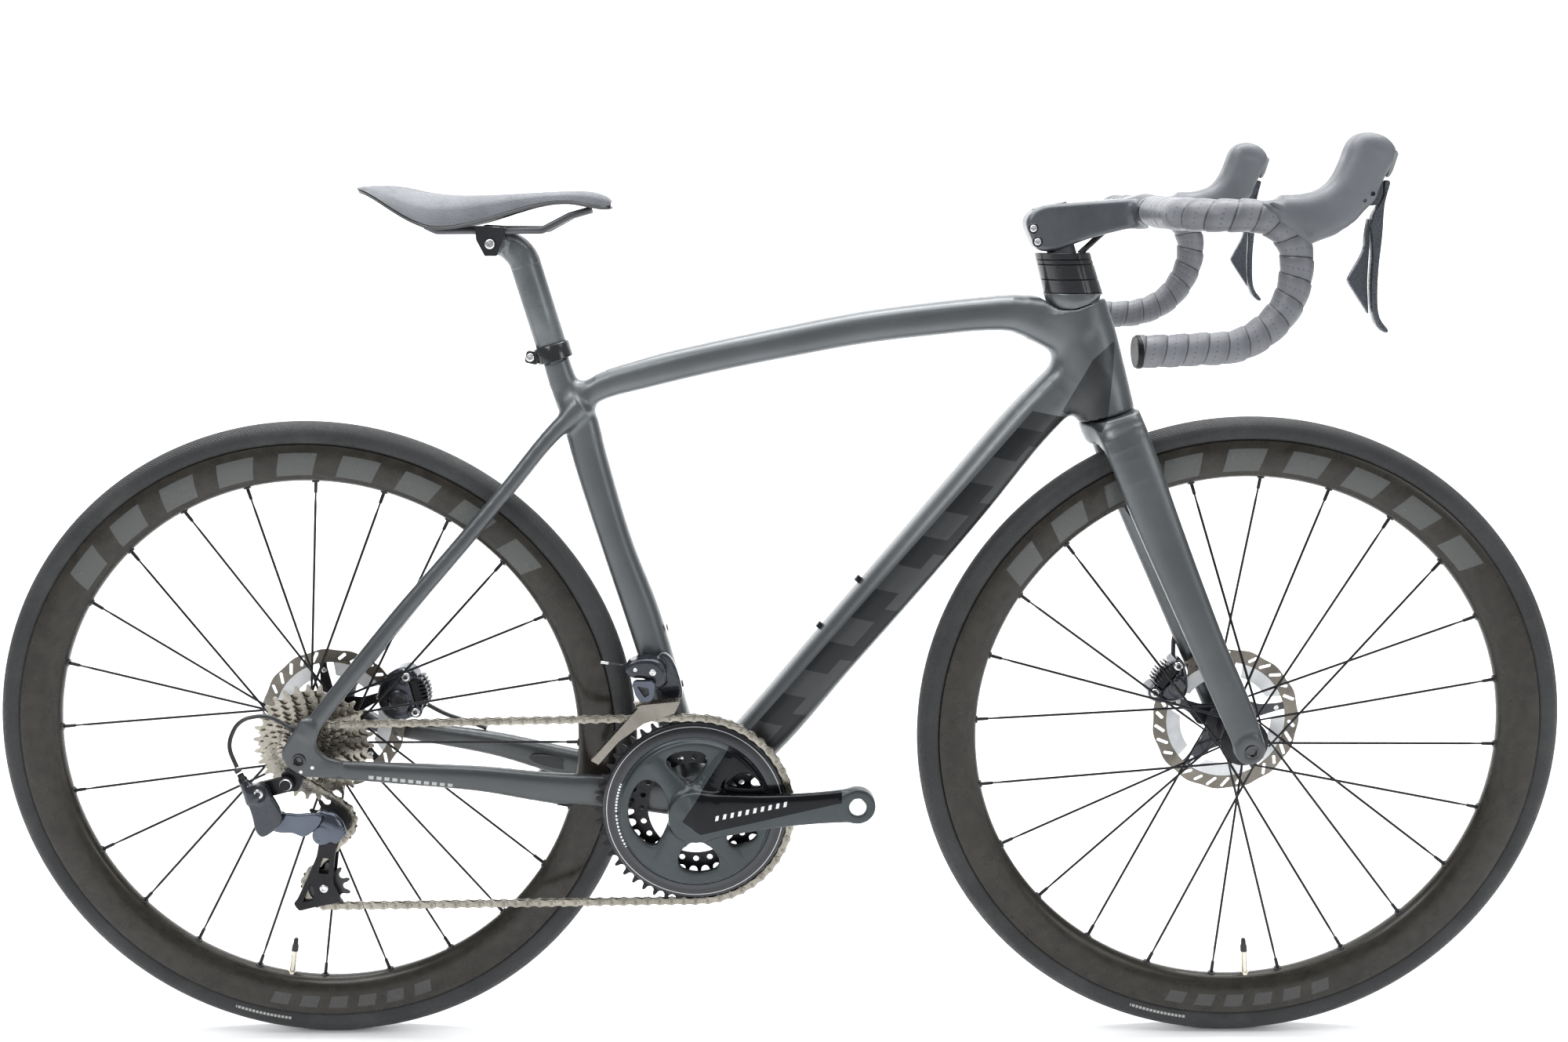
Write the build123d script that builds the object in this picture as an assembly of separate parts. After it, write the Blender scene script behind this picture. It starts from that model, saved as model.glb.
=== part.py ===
"""Road bicycle with disc brakes, modelled as separate named pieces (millimetres).

Frame of the part: +X forward, +Y to the rider's left, +Z up.  The origin is on the ground,
in the mid plane, half way between the two axles.  The drive side is -Y.
"""
import os
from math import asin, atan2, cos, degrees, hypot, pi, radians, sin, tan

from build123d import *

# ---------------------------------------------------------------- driving dimensions
WHEELBASE = 979.0
TYRE_RADIUS = 340.0
TYRE_SECTION = 14.0
HEAD_ANGLE = 73.4
HEAD_TOP = (308.2, 794.6)          # x, z where the steering axis leaves the head tube
HEAD_LENGTH = 116.0
STEERER_RADIUS = 14.3
STEERER_ABOVE = 96.0
BB = (-86.0, 272.5)
BB_RADIUS = 25.5
BB_HALF_WIDTH = 43.0
SPINDLE_RADIUS = 12.0
CRANK_LENGTH = 170.0
CRANK_ANGLE = 4.4
PEDAL_HOLE_RADIUS = 7.14
ARM_INNER, ARM_OUTER = 59.5, 72.5
AXLE_RADIUS = 6.0
FIT = 0.05                         # radial running clearance
FRONT_HUB_HALF = 50.0
REAR_HUB_HALF = 71.0
PITCH = 12.7
ROLLER_RADIUS = 3.8
GAP_RADIUS = 4.1
BIG_TEETH, SMALL_TEETH = 50, 34
BIG_RING_Y, SMALL_RING_Y = -46.8, -40.2
SPROCKETS = (11, 12, 13, 14, 15, 17, 19, 21, 24, 27, 30)
FIRST_SPROCKET_Y = -62.2
SPROCKET_STEP = 3.74
SPROCKET_WIDTH = 1.6
ENGAGED = 3                        # index of the sprocket that carries the chain
PULLEY_TEETH = 11
CHAIN_LINKS = 110
SPOKES = 24
RIM_INNER, RIM_OUTER, RIM_HALF_WIDTH = 277.0, 316.8, 13.4
ROTOR_RADIUS = 80.0
FRONT_ROTOR_Y, REAR_ROTOR_Y = 39.7, 52.2
ROTOR_HALF = 0.9
BAR_HALF = 190.0
BAR_RADIUS, TAPE_RADIUS = 11.9, 15.0
MAST_ANGLE = 73.9
MAST_RADIUS, POST_RADIUS = 13.5, 15.8
MAST_FOOT = (-225.5, 744.0)

REAR_AXLE = (-WHEELBASE / 2, TYRE_RADIUS)
FRONT_AXLE = (WHEELBASE / 2, TYRE_RADIUS)
AXIS_UP = (-cos(radians(HEAD_ANGLE)), 0, sin(radians(HEAD_ANGLE)))
AXIS_FWD = (sin(radians(HEAD_ANGLE)), 0, cos(radians(HEAD_ANGLE)))
MAST_UP = (-cos(radians(MAST_ANGLE)), 0, sin(radians(MAST_ANGLE)))
GUIDE = (-466.5, 263.0)
CAGE_PIVOT = (-472.0, 256.0)
B_PIVOT = (-528.4, 309.3)
HANGER_BOLT = (-503.0, 315.3)
LEVER_PIVOT = (519.4, 904.3)


# ---------------------------------------------------------------- helpers
def push_y(face, low, high):
    """A face drawn as (x, z), made solid from y=low to y=high."""
    middle = Plane.XZ.offset(-(low + high) / 2)
    return extrude(middle * face, (high - low) / 2, both=True)


def slab(points, low, high, corner=0.0):
    """An XZ outline pushed from y=low to y=high, its corners rounded by corner."""
    face = Polygon(*points, align=None)
    if corner:
        face = fillet(face.vertices(), corner)
    return push_y(face, low, high)


def rod_y(x, z, radius, low, high):
    return Pos(x, (low + high) / 2, z) * Rot(90, 0, 0) * Cylinder(radius, high - low)


def ring_y(x, z, inner, outer, low, high):
    return rod_y(x, z, outer, low, high) - rod_y(x, z, inner, low - 1, high + 1)


def rod(start, end, radius):
    """A round bar between two points."""
    run = Vector(*end) - Vector(*start)
    return extrude(Plane(origin=start, z_dir=run) * Circle(radius), run.length)


def bar(x0, z0, x1, z1, r0, r1, low, high):
    """A flat bar with round ends of radius r0 and r1, pushed along Y."""
    length = hypot(x1 - x0, z1 - z0)
    turn = degrees(atan2(z1 - z0, x1 - x0))
    lean = degrees(asin((r0 - r1) / length))
    up, down = radians(90 - lean), radians(lean - 90)
    outline = Polygon((r0 * cos(up), r0 * sin(up)), (length + r1 * cos(up), r1 * sin(up)),
                      (length + r1 * cos(down), r1 * sin(down)), (r0 * cos(down), r0 * sin(down)),
                      align=None)
    face = outline + Circle(r0) + Pos(length, 0) * Circle(r1)
    return push_y(Pos(x0, z0) * Rot(0, 0, turn) * face, low, high)


def tube_loft(sections):
    """Loft ellipses: each section is (x, y, z, half depth, half width)."""
    faces = []
    points = [Vector(*s[:3]) for s in sections]
    for i, (x, y, z, depth, width) in enumerate(sections):
        ahead = points[min(i + 1, len(points) - 1)] - points[max(i - 1, 0)]
        run = Vector(ahead.X, 0, ahead.Z)
        side = Vector(-run.Z, 0, run.X)
        plane = Plane(origin=(x, y, z), x_dir=side, z_dir=run)
        faces.append(plane * Ellipse(depth, width))
    return loft(faces)


def both(piece):
    """The piece and its mirror image across the mid plane."""
    return [piece, mirror(piece, about=Plane.XZ)]


def spin(profile, axle):
    """Turn a (radius, y) profile about the wheel axis through axle."""
    return Pos(axle[0], 0, axle[1]) * revolve(profile, Axis.Y)


def sweep_round(path, radius):
    start = path @ 0
    direction = path % 0
    return sweep(Plane(origin=start, z_dir=direction) * Circle(radius), path=path)


def rounded_route(points):
    """Straight runs joined by arcs of 0.45 of the shorter run over the tangent of half the turn."""
    spots = [Vector(*p) for p in points]
    radii = []
    for before, here, after in zip(spots, spots[1:], spots[2:]):
        turn = (here - before).get_angle(after - here)
        short = min((here - before).length, (after - here).length)
        radii.append(0.45 * short / tan(radians(turn / 2)))
    return FilletPolyline(*points, radius=radii)


def pitch_radius(teeth):
    return PITCH / 2 / sin(pi / teeth)


def tooth_face(teeth, phase, tip=3.2):
    """Sprocket outline on the XZ plane; phase is the angle of one tooth gap, in radians."""
    base = pitch_radius(teeth)
    flare = tip * tan(radians(20 + 180 / teeth))
    edges = []
    for i in range(teeth):
        here = phase + 2 * pi * i / teeth
        after = phase + 2 * pi * (i + 1) / teeth

        def place(along, across, angle):
            return (along * cos(angle) - across * sin(angle), along * sin(angle) + across * cos(angle))

        first = place(base, -GAP_RADIUS, here)
        last = place(base, GAP_RADIUS, here)
        edges.append(ThreePointArc(first, place(base - GAP_RADIUS, 0, here), last))
        rise = place(base + tip, GAP_RADIUS + flare, here)
        fall = place(base + tip, -GAP_RADIUS - flare, after)
        edges.append(Line(last, rise))
        edges.append(Line(rise, fall))
        edges.append(Line(fall, place(base, -GAP_RADIUS, after)))
    return make_face(Wire(edges))


def toothed_disc(teeth, phase, centre, low, high, bore, tip=3.2):
    face = tooth_face(teeth, phase, tip) - Circle(bore)
    return push_y(Pos(*centre) * face, low, high)


# ---------------------------------------------------------------- chain line
def chain_path(tension):
    """Lines and arcs that the chain's pins follow, from the sprocket's top forward."""
    engaged_r = pitch_radius(SPROCKETS[ENGAGED])
    wheels = [(REAR_AXLE, engaged_r, -1), (BB, pitch_radius(BIG_TEETH), -1),
              (tension, pitch_radius(PULLEY_TEETH), -1), (GUIDE, pitch_radius(PULLEY_TEETH), 1)]
    ends = []
    for i in range(4):
        (c0, r0, s0), (c1, r1, s1) = wheels[i], wheels[(i + 1) % 4]
        dx, dz = c1[0] - c0[0], c1[1] - c0[1]
        span = hypot(dx, dz)
        heading = atan2(dz, dx) + asin((s0 * r0 - s1 * r1) / span)
        n = (sin(heading), -cos(heading))
        ends.append(((c0[0] + s0 * r0 * n[0], c0[1] + s0 * r0 * n[1]),
                     (c1[0] + s1 * r1 * n[0], c1[1] + s1 * r1 * n[1])))
    pieces = []
    for i in range(4):
        pieces.append(("line", ends[i][0], ends[i][1]))
        centre, radius, sense = wheels[(i + 1) % 4]
        arrive, leave = ends[i][1], ends[(i + 1) % 4][0]
        a0 = atan2(arrive[1] - centre[1], arrive[0] - centre[0])
        a1 = atan2(leave[1] - centre[1], leave[0] - centre[0])
        sweep_angle = (a1 - a0) * sense % (2 * pi)
        pieces.append(("arc", centre, radius, a0, sense * sweep_angle))
    return pieces


def piece_length(piece):
    if piece[0] == "line":
        return hypot(piece[2][0] - piece[1][0], piece[2][1] - piece[1][1])
    return abs(piece[4]) * piece[2]


def piece_point(piece, share):
    if piece[0] == "line":
        return tuple(a + (b - a) * share for a, b in zip(piece[1], piece[2]))
    angle = piece[3] + piece[4] * share
    return (piece[1][0] + piece[2] * cos(angle), piece[1][1] + piece[2] * sin(angle))


def path_point(pieces, along):
    for piece in pieces:
        length = piece_length(piece)
        if along <= length:
            return piece_point(piece, along / length)
        along -= length
    return piece_point(pieces[-1], 1)


def walk_pins(tension, count):
    """Pins one pitch apart along the path; returns them and what is left over at the end."""
    pieces = chain_path(tension)
    total = sum(piece_length(p) for p in pieces)
    along = piece_length(pieces[0]) / 2
    start = along
    pins = [path_point(pieces, along)]
    for _ in range(count):
        low, high = along + PITCH * 0.9, along + PITCH * 1.1
        for _ in range(40):
            middle = (low + high) / 2
            spot = path_point(pieces, middle % total)
            if hypot(spot[0] - pins[-1][0], spot[1] - pins[-1][1]) < PITCH:
                low = middle
            else:
                high = middle
        along = (low + high) / 2
        pins.append(path_point(pieces, along % total))
    return pins, start + total - along


def settle_tension_pulley():
    """Cage angle at which the loop closes on a whole number of links."""
    def place(angle):
        reach = 73.0
        return (GUIDE[0] + reach * cos(radians(angle)), GUIDE[1] + reach * sin(radians(angle)))

    low, high = -118.0, -60.0
    for _ in range(40):
        middle = (low + high) / 2
        if walk_pins(place(middle), CHAIN_LINKS)[1] > 0:
            low = middle
        else:
            high = middle
    return place((low + high) / 2)


def gap_phase(pins, centre, radius):
    """Angle of a pin that lies on the wheel's pitch circle."""
    best = min(pins, key=lambda p: abs(hypot(p[0] - centre[0], p[1] - centre[1]) - radius))
    return atan2(best[1] - centre[1], best[0] - centre[0])


TENSION = settle_tension_pulley()
PINS = walk_pins(TENSION, CHAIN_LINKS)[0][:CHAIN_LINKS]
ENGAGED_Y = FIRST_SPROCKET_Y + ENGAGED * SPROCKET_STEP
print("tension pulley", TENSION, "left over", walk_pins(TENSION, CHAIN_LINKS)[1])


def pin_y(pin):
    """The chain runs from the engaged sprocket's plane to the big ring's plane."""
    start, finish = GUIDE[0] + 36, BB[0] - 60
    share = (pin[0] - start) / (finish - start)
    share = min(max(share, 0.0), 1.0)
    return ENGAGED_Y + (BIG_RING_Y - ENGAGED_Y) * share


def chain_link(start, end, outer):
    """One link: an outer pair of plates with rivet ends, or an inner pair on rollers."""
    y = (pin_y(start) + pin_y(end)) / 2
    half, plate, offset = 4.2, 0.75, 1.09
    if outer:
        offset = 1.9
    pieces = []
    for side in (1, -1):
        faces = sorted((side * offset, side * (offset + plate)))
        flat = bar(*start, *end, half, half - 0.001, y + faces[0], y + faces[1])
        if outer:
            head = sorted((side * (offset + plate), side * (offset + plate + 0.2)))
            flat += rod_y(*start, 1.8, y + head[0], y + head[1])
            flat += rod_y(*end, 1.8, y + head[0], y + head[1])
        pieces.append(flat)
    if outer:
        return pieces
    body = pieces[0] + pieces[1]
    for spot in (start, end):
        body += rod_y(*spot, ROLLER_RADIUS, y - offset, y + offset)
    return [body]


def chain():
    links = []
    for i in range(CHAIN_LINKS):
        links += chain_link(PINS[i], PINS[(i + 1) % CHAIN_LINKS], i % 2 == 1)
    return links


# ---------------------------------------------------------------- frame
def head_point(along, forward=0.0, side=0.0):
    """A point measured along the steering axis from the head tube's top face."""
    return (HEAD_TOP[0] + AXIS_UP[0] * along + AXIS_FWD[0] * forward, side,
            HEAD_TOP[1] + AXIS_UP[2] * along + AXIS_FWD[2] * forward)


def head_rod(radius, start, end):
    return rod(head_point(start), head_point(end), radius)


def mast_point(along):
    return (MAST_FOOT[0] + MAST_UP[0] * along, 0, MAST_FOOT[1] + MAST_UP[2] * along)


def front_triangle():
    sections = []
    for along, shift, depth, width in ((0, 0, 29.5, 25.5), (-28, 3, 31, 25), (-HEAD_LENGTH, 0, 29.5, 29)):
        plane = Plane(origin=head_point(along, shift), x_dir=AXIS_FWD, z_dir=AXIS_UP)
        sections.append(plane * Ellipse(depth, width))
    head_tube = loft(sections)
    top_tube = tube_loft([(302, 0, 766, 27, 20), (243, 0, 787.5, 18.5, 19), (163, 0, 782.6, 17, 18.5),
                          (89, 0, 773.6, 16.6, 18), (15.5, 0, 760.3, 16.1, 17), (-58.5, 0, 745.5, 15.7, 15.5),
                          (-133, 0, 728, 15.4, 14), (-200, 0, 702, 14, 13)])
    down_tube = tube_loft([(322, 0, 735, 29, 23), (262, 0, 676, 24.5, 25), (140.9, 0, 528.3, 27, 26),
                           (-21.7, 0, 335.4, 26, 27), (-74, 0, 286, 23, 30)])
    seat_tube = tube_loft([(*mast_point(-4), MAST_RADIUS - 0.6, MAST_RADIUS - 0.6),
                           (-215.5, 0, 712, 16.5, 14), (-203.5, 0, 684.4, 19.5, 15),
                           (-165, 0, 543, 16.5, 16), (-141.5, 0, 474.5, 18.6, 17),
                           (-126, 0, 415, 18.8, 19), (-92, 0, 292, 21, 28)])
    mast = rod(mast_point(-9), mast_point(92), MAST_RADIUS)
    shell = rod_y(*BB, BB_RADIUS, -BB_HALF_WIDTH, BB_HALF_WIDTH)
    body = head_tube + top_tube + down_tube + seat_tube + mast + shell
    body -= head_rod(18.5, -HEAD_LENGTH - 5, 5)
    body -= head_rod(21, -9, 5)
    body -= head_rod(26, -HEAD_LENGTH - 5, -HEAD_LENGTH + 9)
    cone = Plane(origin=head_point(0), x_dir=AXIS_FWD, z_dir=AXIS_UP) * Pos(0, 0, 15) * Cone(24.6, 38, 30)
    body -= cone
    body -= rod_y(*BB, 20.5, -50, 50)
    return [body]


def dropout(low, high):
    plate = slab([(-508.9, 346.5), (-500.5, 329.5), (-486, 321.5), (-452, 323), (-452, 338), (-466, 343),
                  (-476, 356), (-470, 372), (-482, 384)], low, high, 2.5)
    return plate - rod_y(*REAR_AXLE, AXLE_RADIUS, low - 1, high + 1)


def rear_triangle(main_frame):
    seat_stay = tube_loft([(-204, -14, 691, 9, 7.5), (-274.5, -27, 612.5, 8, 7), (-386.6, -51, 484, 8.6, 6.5),
                           (-486, -73, 362, 8, 5)])
    chain_stay = tube_loft([(-104, -26, 276, 19, 8.5), (-189, -31, 287.5, 17, 8), (-239.4, -41, 295, 16.4, 8),
                            (-303, -51, 308.5, 13.6, 8), (-400, -64, 321, 11, 7), (-470, -74, 330, 9, 4.5)])
    right = seat_stay + chain_stay + dropout(-78, -REAR_HUB_HALF)
    right -= rod_y(*REAR_AXLE, 24, -REAR_HUB_HALF, 0)
    sides = []
    for side in both(right):
        sides += (side - main_frame).solids()
    return [max(sides, key=lambda s: s.volume)] + [s for s in sides if s.volume > 20000][1:2]


def headset():
    """Upper and lower bearing cartridges in the head tube."""
    upper = head_rod(20.9, -8.8, -1.2) - head_rod(STEERER_RADIUS + FIT, -20, 10)
    lower = head_rod(25.9, -HEAD_LENGTH + 1.2, -HEAD_LENGTH + 8.8)
    lower -= head_rod(19 + FIT, -HEAD_LENGTH - 10, 0)
    return [upper, lower]


def bottom_bracket():
    cup = ring_y(*BB, SPINDLE_RADIUS + FIT, 20.4, 31, 44.4) + ring_y(*BB, SPINDLE_RADIUS + FIT, 23, 43.1, 44.4)
    return both(cup)


def derailleur_hanger():
    """Hanger bolted under the right dropout, and the link that carries the derailleur."""
    hanger = slab([(-509, 325), (-497, 330.5), (-486, 321), (-492, 307), (-505, 305)], -77, -71.4, 2)
    hanger -= rod_y(*REAR_AXLE, 10.5, -80, -70)
    link = bar(*HANGER_BOLT, *B_PIVOT, 8, 8.5, -82.5, -77.3)
    link -= rod_y(*B_PIVOT, 4 + FIT, -90, -70)
    bolt = rod_y(*HANGER_BOLT, 5.5, -85, -82.6)
    return [hanger - dropout(-78, -REAR_HUB_HALF), link, bolt]


def seat_collar():
    """Clamp band at the foot of the sliding post, with its ears and bolt."""
    band = rod(mast_point(-2), mast_point(15), POST_RADIUS + 2.6) - rod(mast_point(-8), mast_point(25), POST_RADIUS)
    ear_centre = mast_point(6.5)
    ear = Pos(ear_centre[0] - 21, 0, ear_centre[2] - 5) * Rot(0, -16, 0) * Box(12, 15, 12)
    ear -= rod(mast_point(-20), mast_point(40), POST_RADIUS + 1)
    bolt = rod_y(ear_centre[0] - 24, ear_centre[2] - 6, 4.5, -9.5, -7.6)
    return [band + ear, bolt]


def frame_bolts(main_frame):
    """Bottle cage bolts on the seat tube and the down tube."""
    bolts = []
    depth = 16
    for x, z, nx, nz in ((-114.6, 457.3, 0.97, 0.24), (-99.3, 395.8, 0.97, 0.24),
                         (43.7, 460.9, -0.77, 0.64), (84.3, 511.1, -0.77, 0.64)):
        bolt = rod((x - depth * nx, 0, z - depth * nz), (x, 0, z), 3.6)
        bolts.append(bolt - main_frame)
    return bolts


def thru_axle(axle, half):
    shaft = rod_y(*axle, AXLE_RADIUS - 0.01, -half, half)
    socket = rod_y(*axle, 3, -half - 1, -half + 6)
    return [shaft - socket]


def caliper(axle, rotor_y, outline):
    """Flat-mount brake caliper straddling the rotor."""
    body = slab(outline, rotor_y - 11, rotor_y + 15, 3)
    body -= rod_y(*axle, ROTOR_RADIUS + 2.5, rotor_y - 4.2, rotor_y + 4.2)
    return [body]


def brake_pads(axle, rotor_y, spot):
    """Pad on each side of the rotor, 0.45 mm clear of it."""
    x, z = spot
    turn = degrees(atan2(z - axle[1], x - axle[0]))
    pads = []
    for side in (1, -1):
        block = Rot(0, -turn, 0) * Box(17, 2.6, 24)
        pads.append(Pos(x, rotor_y + side * (ROTOR_HALF + 0.45 + 1.3), z) * block)
    return pads


def front_mech_base(main_frame):
    """Front derailleur clamp plate and body on the seat tube."""
    plate = slab([(-122, 436), (-108, 428), (-98, 390), (-112, 386), (-126, 400)], -24, -19.5, 3)
    body = slab([(-158, 424), (-150, 434), (-126, 434), (-116, 424), (-118, 404), (-130, 404),
                 (-136, 414), (-152, 414)], -43, -19.5, 2)
    return [plate + body - main_frame]


def front_mech_link():
    """Link block with its pivot barrel along X."""
    block = Pos(-137, -47.5, 401.3) * Box(24, 6, 20.4)
    return [block + rod((-149, -47.5, 411.5), (-125, -47.5, 411.5), 3)]


def front_mech_cage():
    """Two cage plates joined above and behind the chain."""
    reach = [110.2 + 2.2, 109.8, 109.6, 109.8]
    angles = [152, 135, 118, 100]
    lower = [(BB[0] + r * cos(radians(a)), BB[1] + r * sin(radians(a))) for r, a in zip(reach, angles)]
    upper = [(-99, 393.5), (-140, 389.4), (-150, 378), (-193, 329.5)]
    outline = [upper[3]] + lower + upper[:3]
    outer = slab(outline, -54, -52.8)
    inner = slab(outline, -41, -39.8)
    bridge = slab([(-146, 386.5), (-140, 389.4), (-104, 393), (-104, 390), (-138, 386)], -54, -39.8)
    tail = slab([(-193, 329.5), (-188, 334), (-184, 331), (-186, 326.6)], -54, -39.8)
    tab = slab([(-148, 391.1), (-129, 391.1), (-129, 387), (-144, 386)], -50.5, -44.5)
    return [outer + inner + bridge + tail + tab]


def rear_cables(rear_frame):
    """Rear brake hose on the left stay and the shift housing that loops to the derailleur."""
    loop = rounded_route([(-499, -68, 371), (-522, -69, 386), (-551, -73, 382), (-562, -78, 356),
                          (-552, -82, 334)])
    housing = sweep_round(loop, 2.2)
    hose_line = rounded_route([(-388, 63, 352), (-368, 64, 340), (-344, 62, 333), (-322, 58, 326)])
    hose = sweep_round(hose_line, 2.5) - rear_frame[0] - rear_frame[1]
    tail = rod((-160, -30, 425), (-180, -30, 428), 0.9)
    return [housing, hose, tail]


# ---------------------------------------------------------------- seat
def seatpost():
    """Hollow post that slides over the frame's mast, with the saddle clamp's head."""
    post = rod(mast_point(0), mast_point(104), POST_RADIUS)
    neck = tube_loft([(*mast_point(99), POST_RADIUS - 0.8, POST_RADIUS - 0.8),
                      (-262, 0, 855, 15.4, 15.2), (-279, 0, 865, 12, 14)])
    head = rod_y(-283, 864, 13.5, -17, 17)
    body = post + neck + head
    body -= rod(mast_point(-5), mast_point(97), MAST_RADIUS + FIT)
    body -= slab([(-310, 871.5), (-250, 871.5), (-250, 900), (-310, 900)], -40, 40)
    return [body]


def saddle_clamp():
    """Two ears and the bolt that hold the rails."""
    outline = [(-298, 880), (-267, 878), (-269, 868), (-277, 850), (-289, 850), (-297, 866)]
    ear = slab(outline, -31, -17.2, 1.5)
    ear -= Pos(-283, -22, 875) * Box(60, 7.8, 10.8)
    bolt = rod_y(-283, 862, 5, -34, -31)
    right, left = both(ear)
    return [right, left, bolt]


def saddle_outline(edge):
    """Half outline of the saddle seen from above: (x, half width)."""
    return [(-412, 40 - edge), (-400, 66 - edge), (-372, 74 - edge), (-335, 68 - edge), (-300, 44 - edge),
            (-262, 27 - edge), (-220, 20.5 - edge), (-185, 18.5 - edge), (-163, 12 - edge)]


def saddle_top():
    """Upper edge of the saddle's side view: (x, z)."""
    return [(-412, 917), (-395, 919.5), (-376, 917.5), (-344, 911.5), (-318, 909.7), (-280, 910.4),
            (-241, 912), (-203, 913.4), (-184, 912.3), (-169, 907.5), (-163, 901)]


def saddle_cover():
    """Padded upper, cut from a side profile and a plan."""
    low = [(-163, 897), (-182, 898), (-201, 901), (-232, 899), (-252, 896), (-270, 890), (-289, 884.5),
           (-315, 880), (-335, 880.5), (-354, 888), (-372, 898), (-393, 909)]
    side = slab(saddle_top() + low, -90, 90)
    half = saddle_outline(0)
    plan = Polygon(*half, *[(x, -y) for x, y in reversed(half)], align=None)
    return [side & (Pos(0, 0, 890) * extrude(plan, 60, both=True))]


def saddle_shell(rails):
    """Base shell under the pad with its rear stiffener."""
    side = slab([(-163, 896.8), (-182, 897.8), (-201, 900.8), (-232, 898.8), (-252, 895.8), (-270, 889.8),
                 (-289, 884.3), (-315, 879.8), (-335, 880.3), (-354, 887.8), (-372, 897.8), (-393, 908.8),
                 (-391, 905.5), (-371, 894), (-353, 884), (-347, 874.5), (-330, 869), (-318, 876.5),
                 (-289, 881.3), (-270, 886.8), (-252, 892.8), (-232, 895.8), (-201, 897.8), (-182, 894.8),
                 (-163, 893.8)], -90, 90)
    half = saddle_outline(1.5)
    plan = Polygon(*half, *[(x, -y) for x, y in reversed(half)], align=None)
    shell = side & (Pos(0, 0, 890) * extrude(plan, 60, both=True))
    shell -= Pos(-290, 0, 871) * Box(100, 68, 20)
    return [max((shell - rails[0] - rails[1]).solids(), key=lambda s: s.volume)]


def saddle_rails():
    """Two rails, straight where the clamp holds them."""
    rails = []
    for sign in (1, -1):
        route = FilletPolyline((-186, sign * 8, 894.3), (-205, sign * 14, 889), (-232, sign * 22, 875),
                               (-338, sign * 22, 875), (-349, sign * 24, 880.5), radius=8)
        rails.append(sweep_round(route, 3.7))
    return rails


# ---------------------------------------------------------------- steering
def fork():
    steerer = head_rod(STEERER_RADIUS, -HEAD_LENGTH, STEERER_ABOVE - 8)
    race = head_rod(19, -HEAD_LENGTH - 1, -HEAD_LENGTH + 9)
    crown_plane = Plane(origin=head_point(-HEAD_LENGTH - 0.8), x_dir=AXIS_FWD, z_dir=AXIS_UP)
    crown_low = Plane(origin=(356, 0, 664), x_dir=AXIS_FWD, z_dir=AXIS_UP)
    crown = loft([crown_plane * Ellipse(29.5, 29), crown_low * Ellipse(26, 47)])
    crown -= rod_y(*FRONT_AXLE, TYRE_RADIUS + 12, -21, 21)
    leg = tube_loft([(352, -36, 672, 23, 10.5), (368, -41, 630, 24, 10.5), (394, -44.5, 566, 21.5, 10),
                     (431, -49, 480, 19.5, 9), (458, -54, 415, 18, 8), (480, -57.5, 362, 16.5, 7.2),
                     (487, -57.5, 346, 16.5, 7.2)])
    tip = bar(485, 352, *FRONT_AXLE, 16, 15, -64, -FRONT_HUB_HALF)
    tip -= rod_y(*FRONT_AXLE, 30, -50.3, -40)
    side = leg + tip
    side -= rod_y(*FRONT_AXLE, 24, -FRONT_HUB_HALF, 0)
    body = steerer + race + crown
    for leg_side in both(side):
        body += leg_side
    body -= rod_y(*FRONT_AXLE, AXLE_RADIUS, -70, 70)
    return [body]


def oval(z, half_x, half_y):
    """A level oval section of the spacer stack, centred on the steering axis."""
    x = HEAD_TOP[0] - (z - HEAD_TOP[1]) / tan(radians(HEAD_ANGLE))
    return Pos(x, 0, z) * Ellipse(half_x, half_y)


def steering_spacers():
    """Wedge cover that turns with the stem, and the spacers above it."""
    plane = Plane(origin=head_point(0.5), x_dir=AXIS_FWD, z_dir=AXIS_UP)
    keep = plane * Pos(0, 0, 20) * Cylinder(60, 40)
    foot = plane * Pos(0, 0, 7.5) * Cone(23.5, 30.5, 15)
    wedge = (foot & (Pos(300, 0, 788) * Box(120, 120, 41))) & keep
    solids = [wedge - head_rod(STEERER_RADIUS, -30, 110)]
    levels = (808.8, 822.6, 837.6, 842.4, 849.5)
    for low, high in zip(levels, levels[1:]):
        half_low = 30.2 - (low - 808.8) * 0.045
        half_high = 30.2 - (high - 808.8) * 0.045
        piece = loft([oval(low, half_low, half_low - 4), oval(high - 0.2, half_high, half_high - 4)])
        solids.append(piece - head_rod(STEERER_RADIUS, -30, 110))
    return solids


def stem():
    """Stem body, top cap and two clamp bolts."""
    body = slab([(257.7, 889.7), (252.6, 879.2), (262, 857), (270.7, 850.8), (284, 851.2), (302, 858.1),
                 (320.3, 864), (350.6, 871.9), (370, 875), (385, 880), (388, 893), (378, 905),
                 (348, 901.9), (288, 898), (272, 896)], -18.5, 18.5, 4)
    body -= head_rod(STEERER_RADIUS, 0, STEERER_ABOVE - 7.9)
    body -= rod_y(374, 890, BAR_RADIUS, -30, 30)
    cap = Plane(origin=head_point(STEERER_ABOVE + 12.4), x_dir=AXIS_FWD, z_dir=AXIS_UP) * Cylinder(14.5, 3)
    bolts = [rod_y(259.9, 873.9, 3.6, -20, -18.6), rod_y(264.4, 860.2, 3.6, -20, -18.6)]
    return [body, cap - body] + bolts


def bar_route(start_y):
    """Centre line of the right half of the drop bar."""
    return FilletPolyline((374, -start_y, 890), (374, -BAR_HALF, 890), (470, -BAR_HALF, 888),
                          (470, -BAR_HALF - 2, 773), (329, -BAR_HALF - 6, 768.2), radius=[46, 42, 71])


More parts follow.
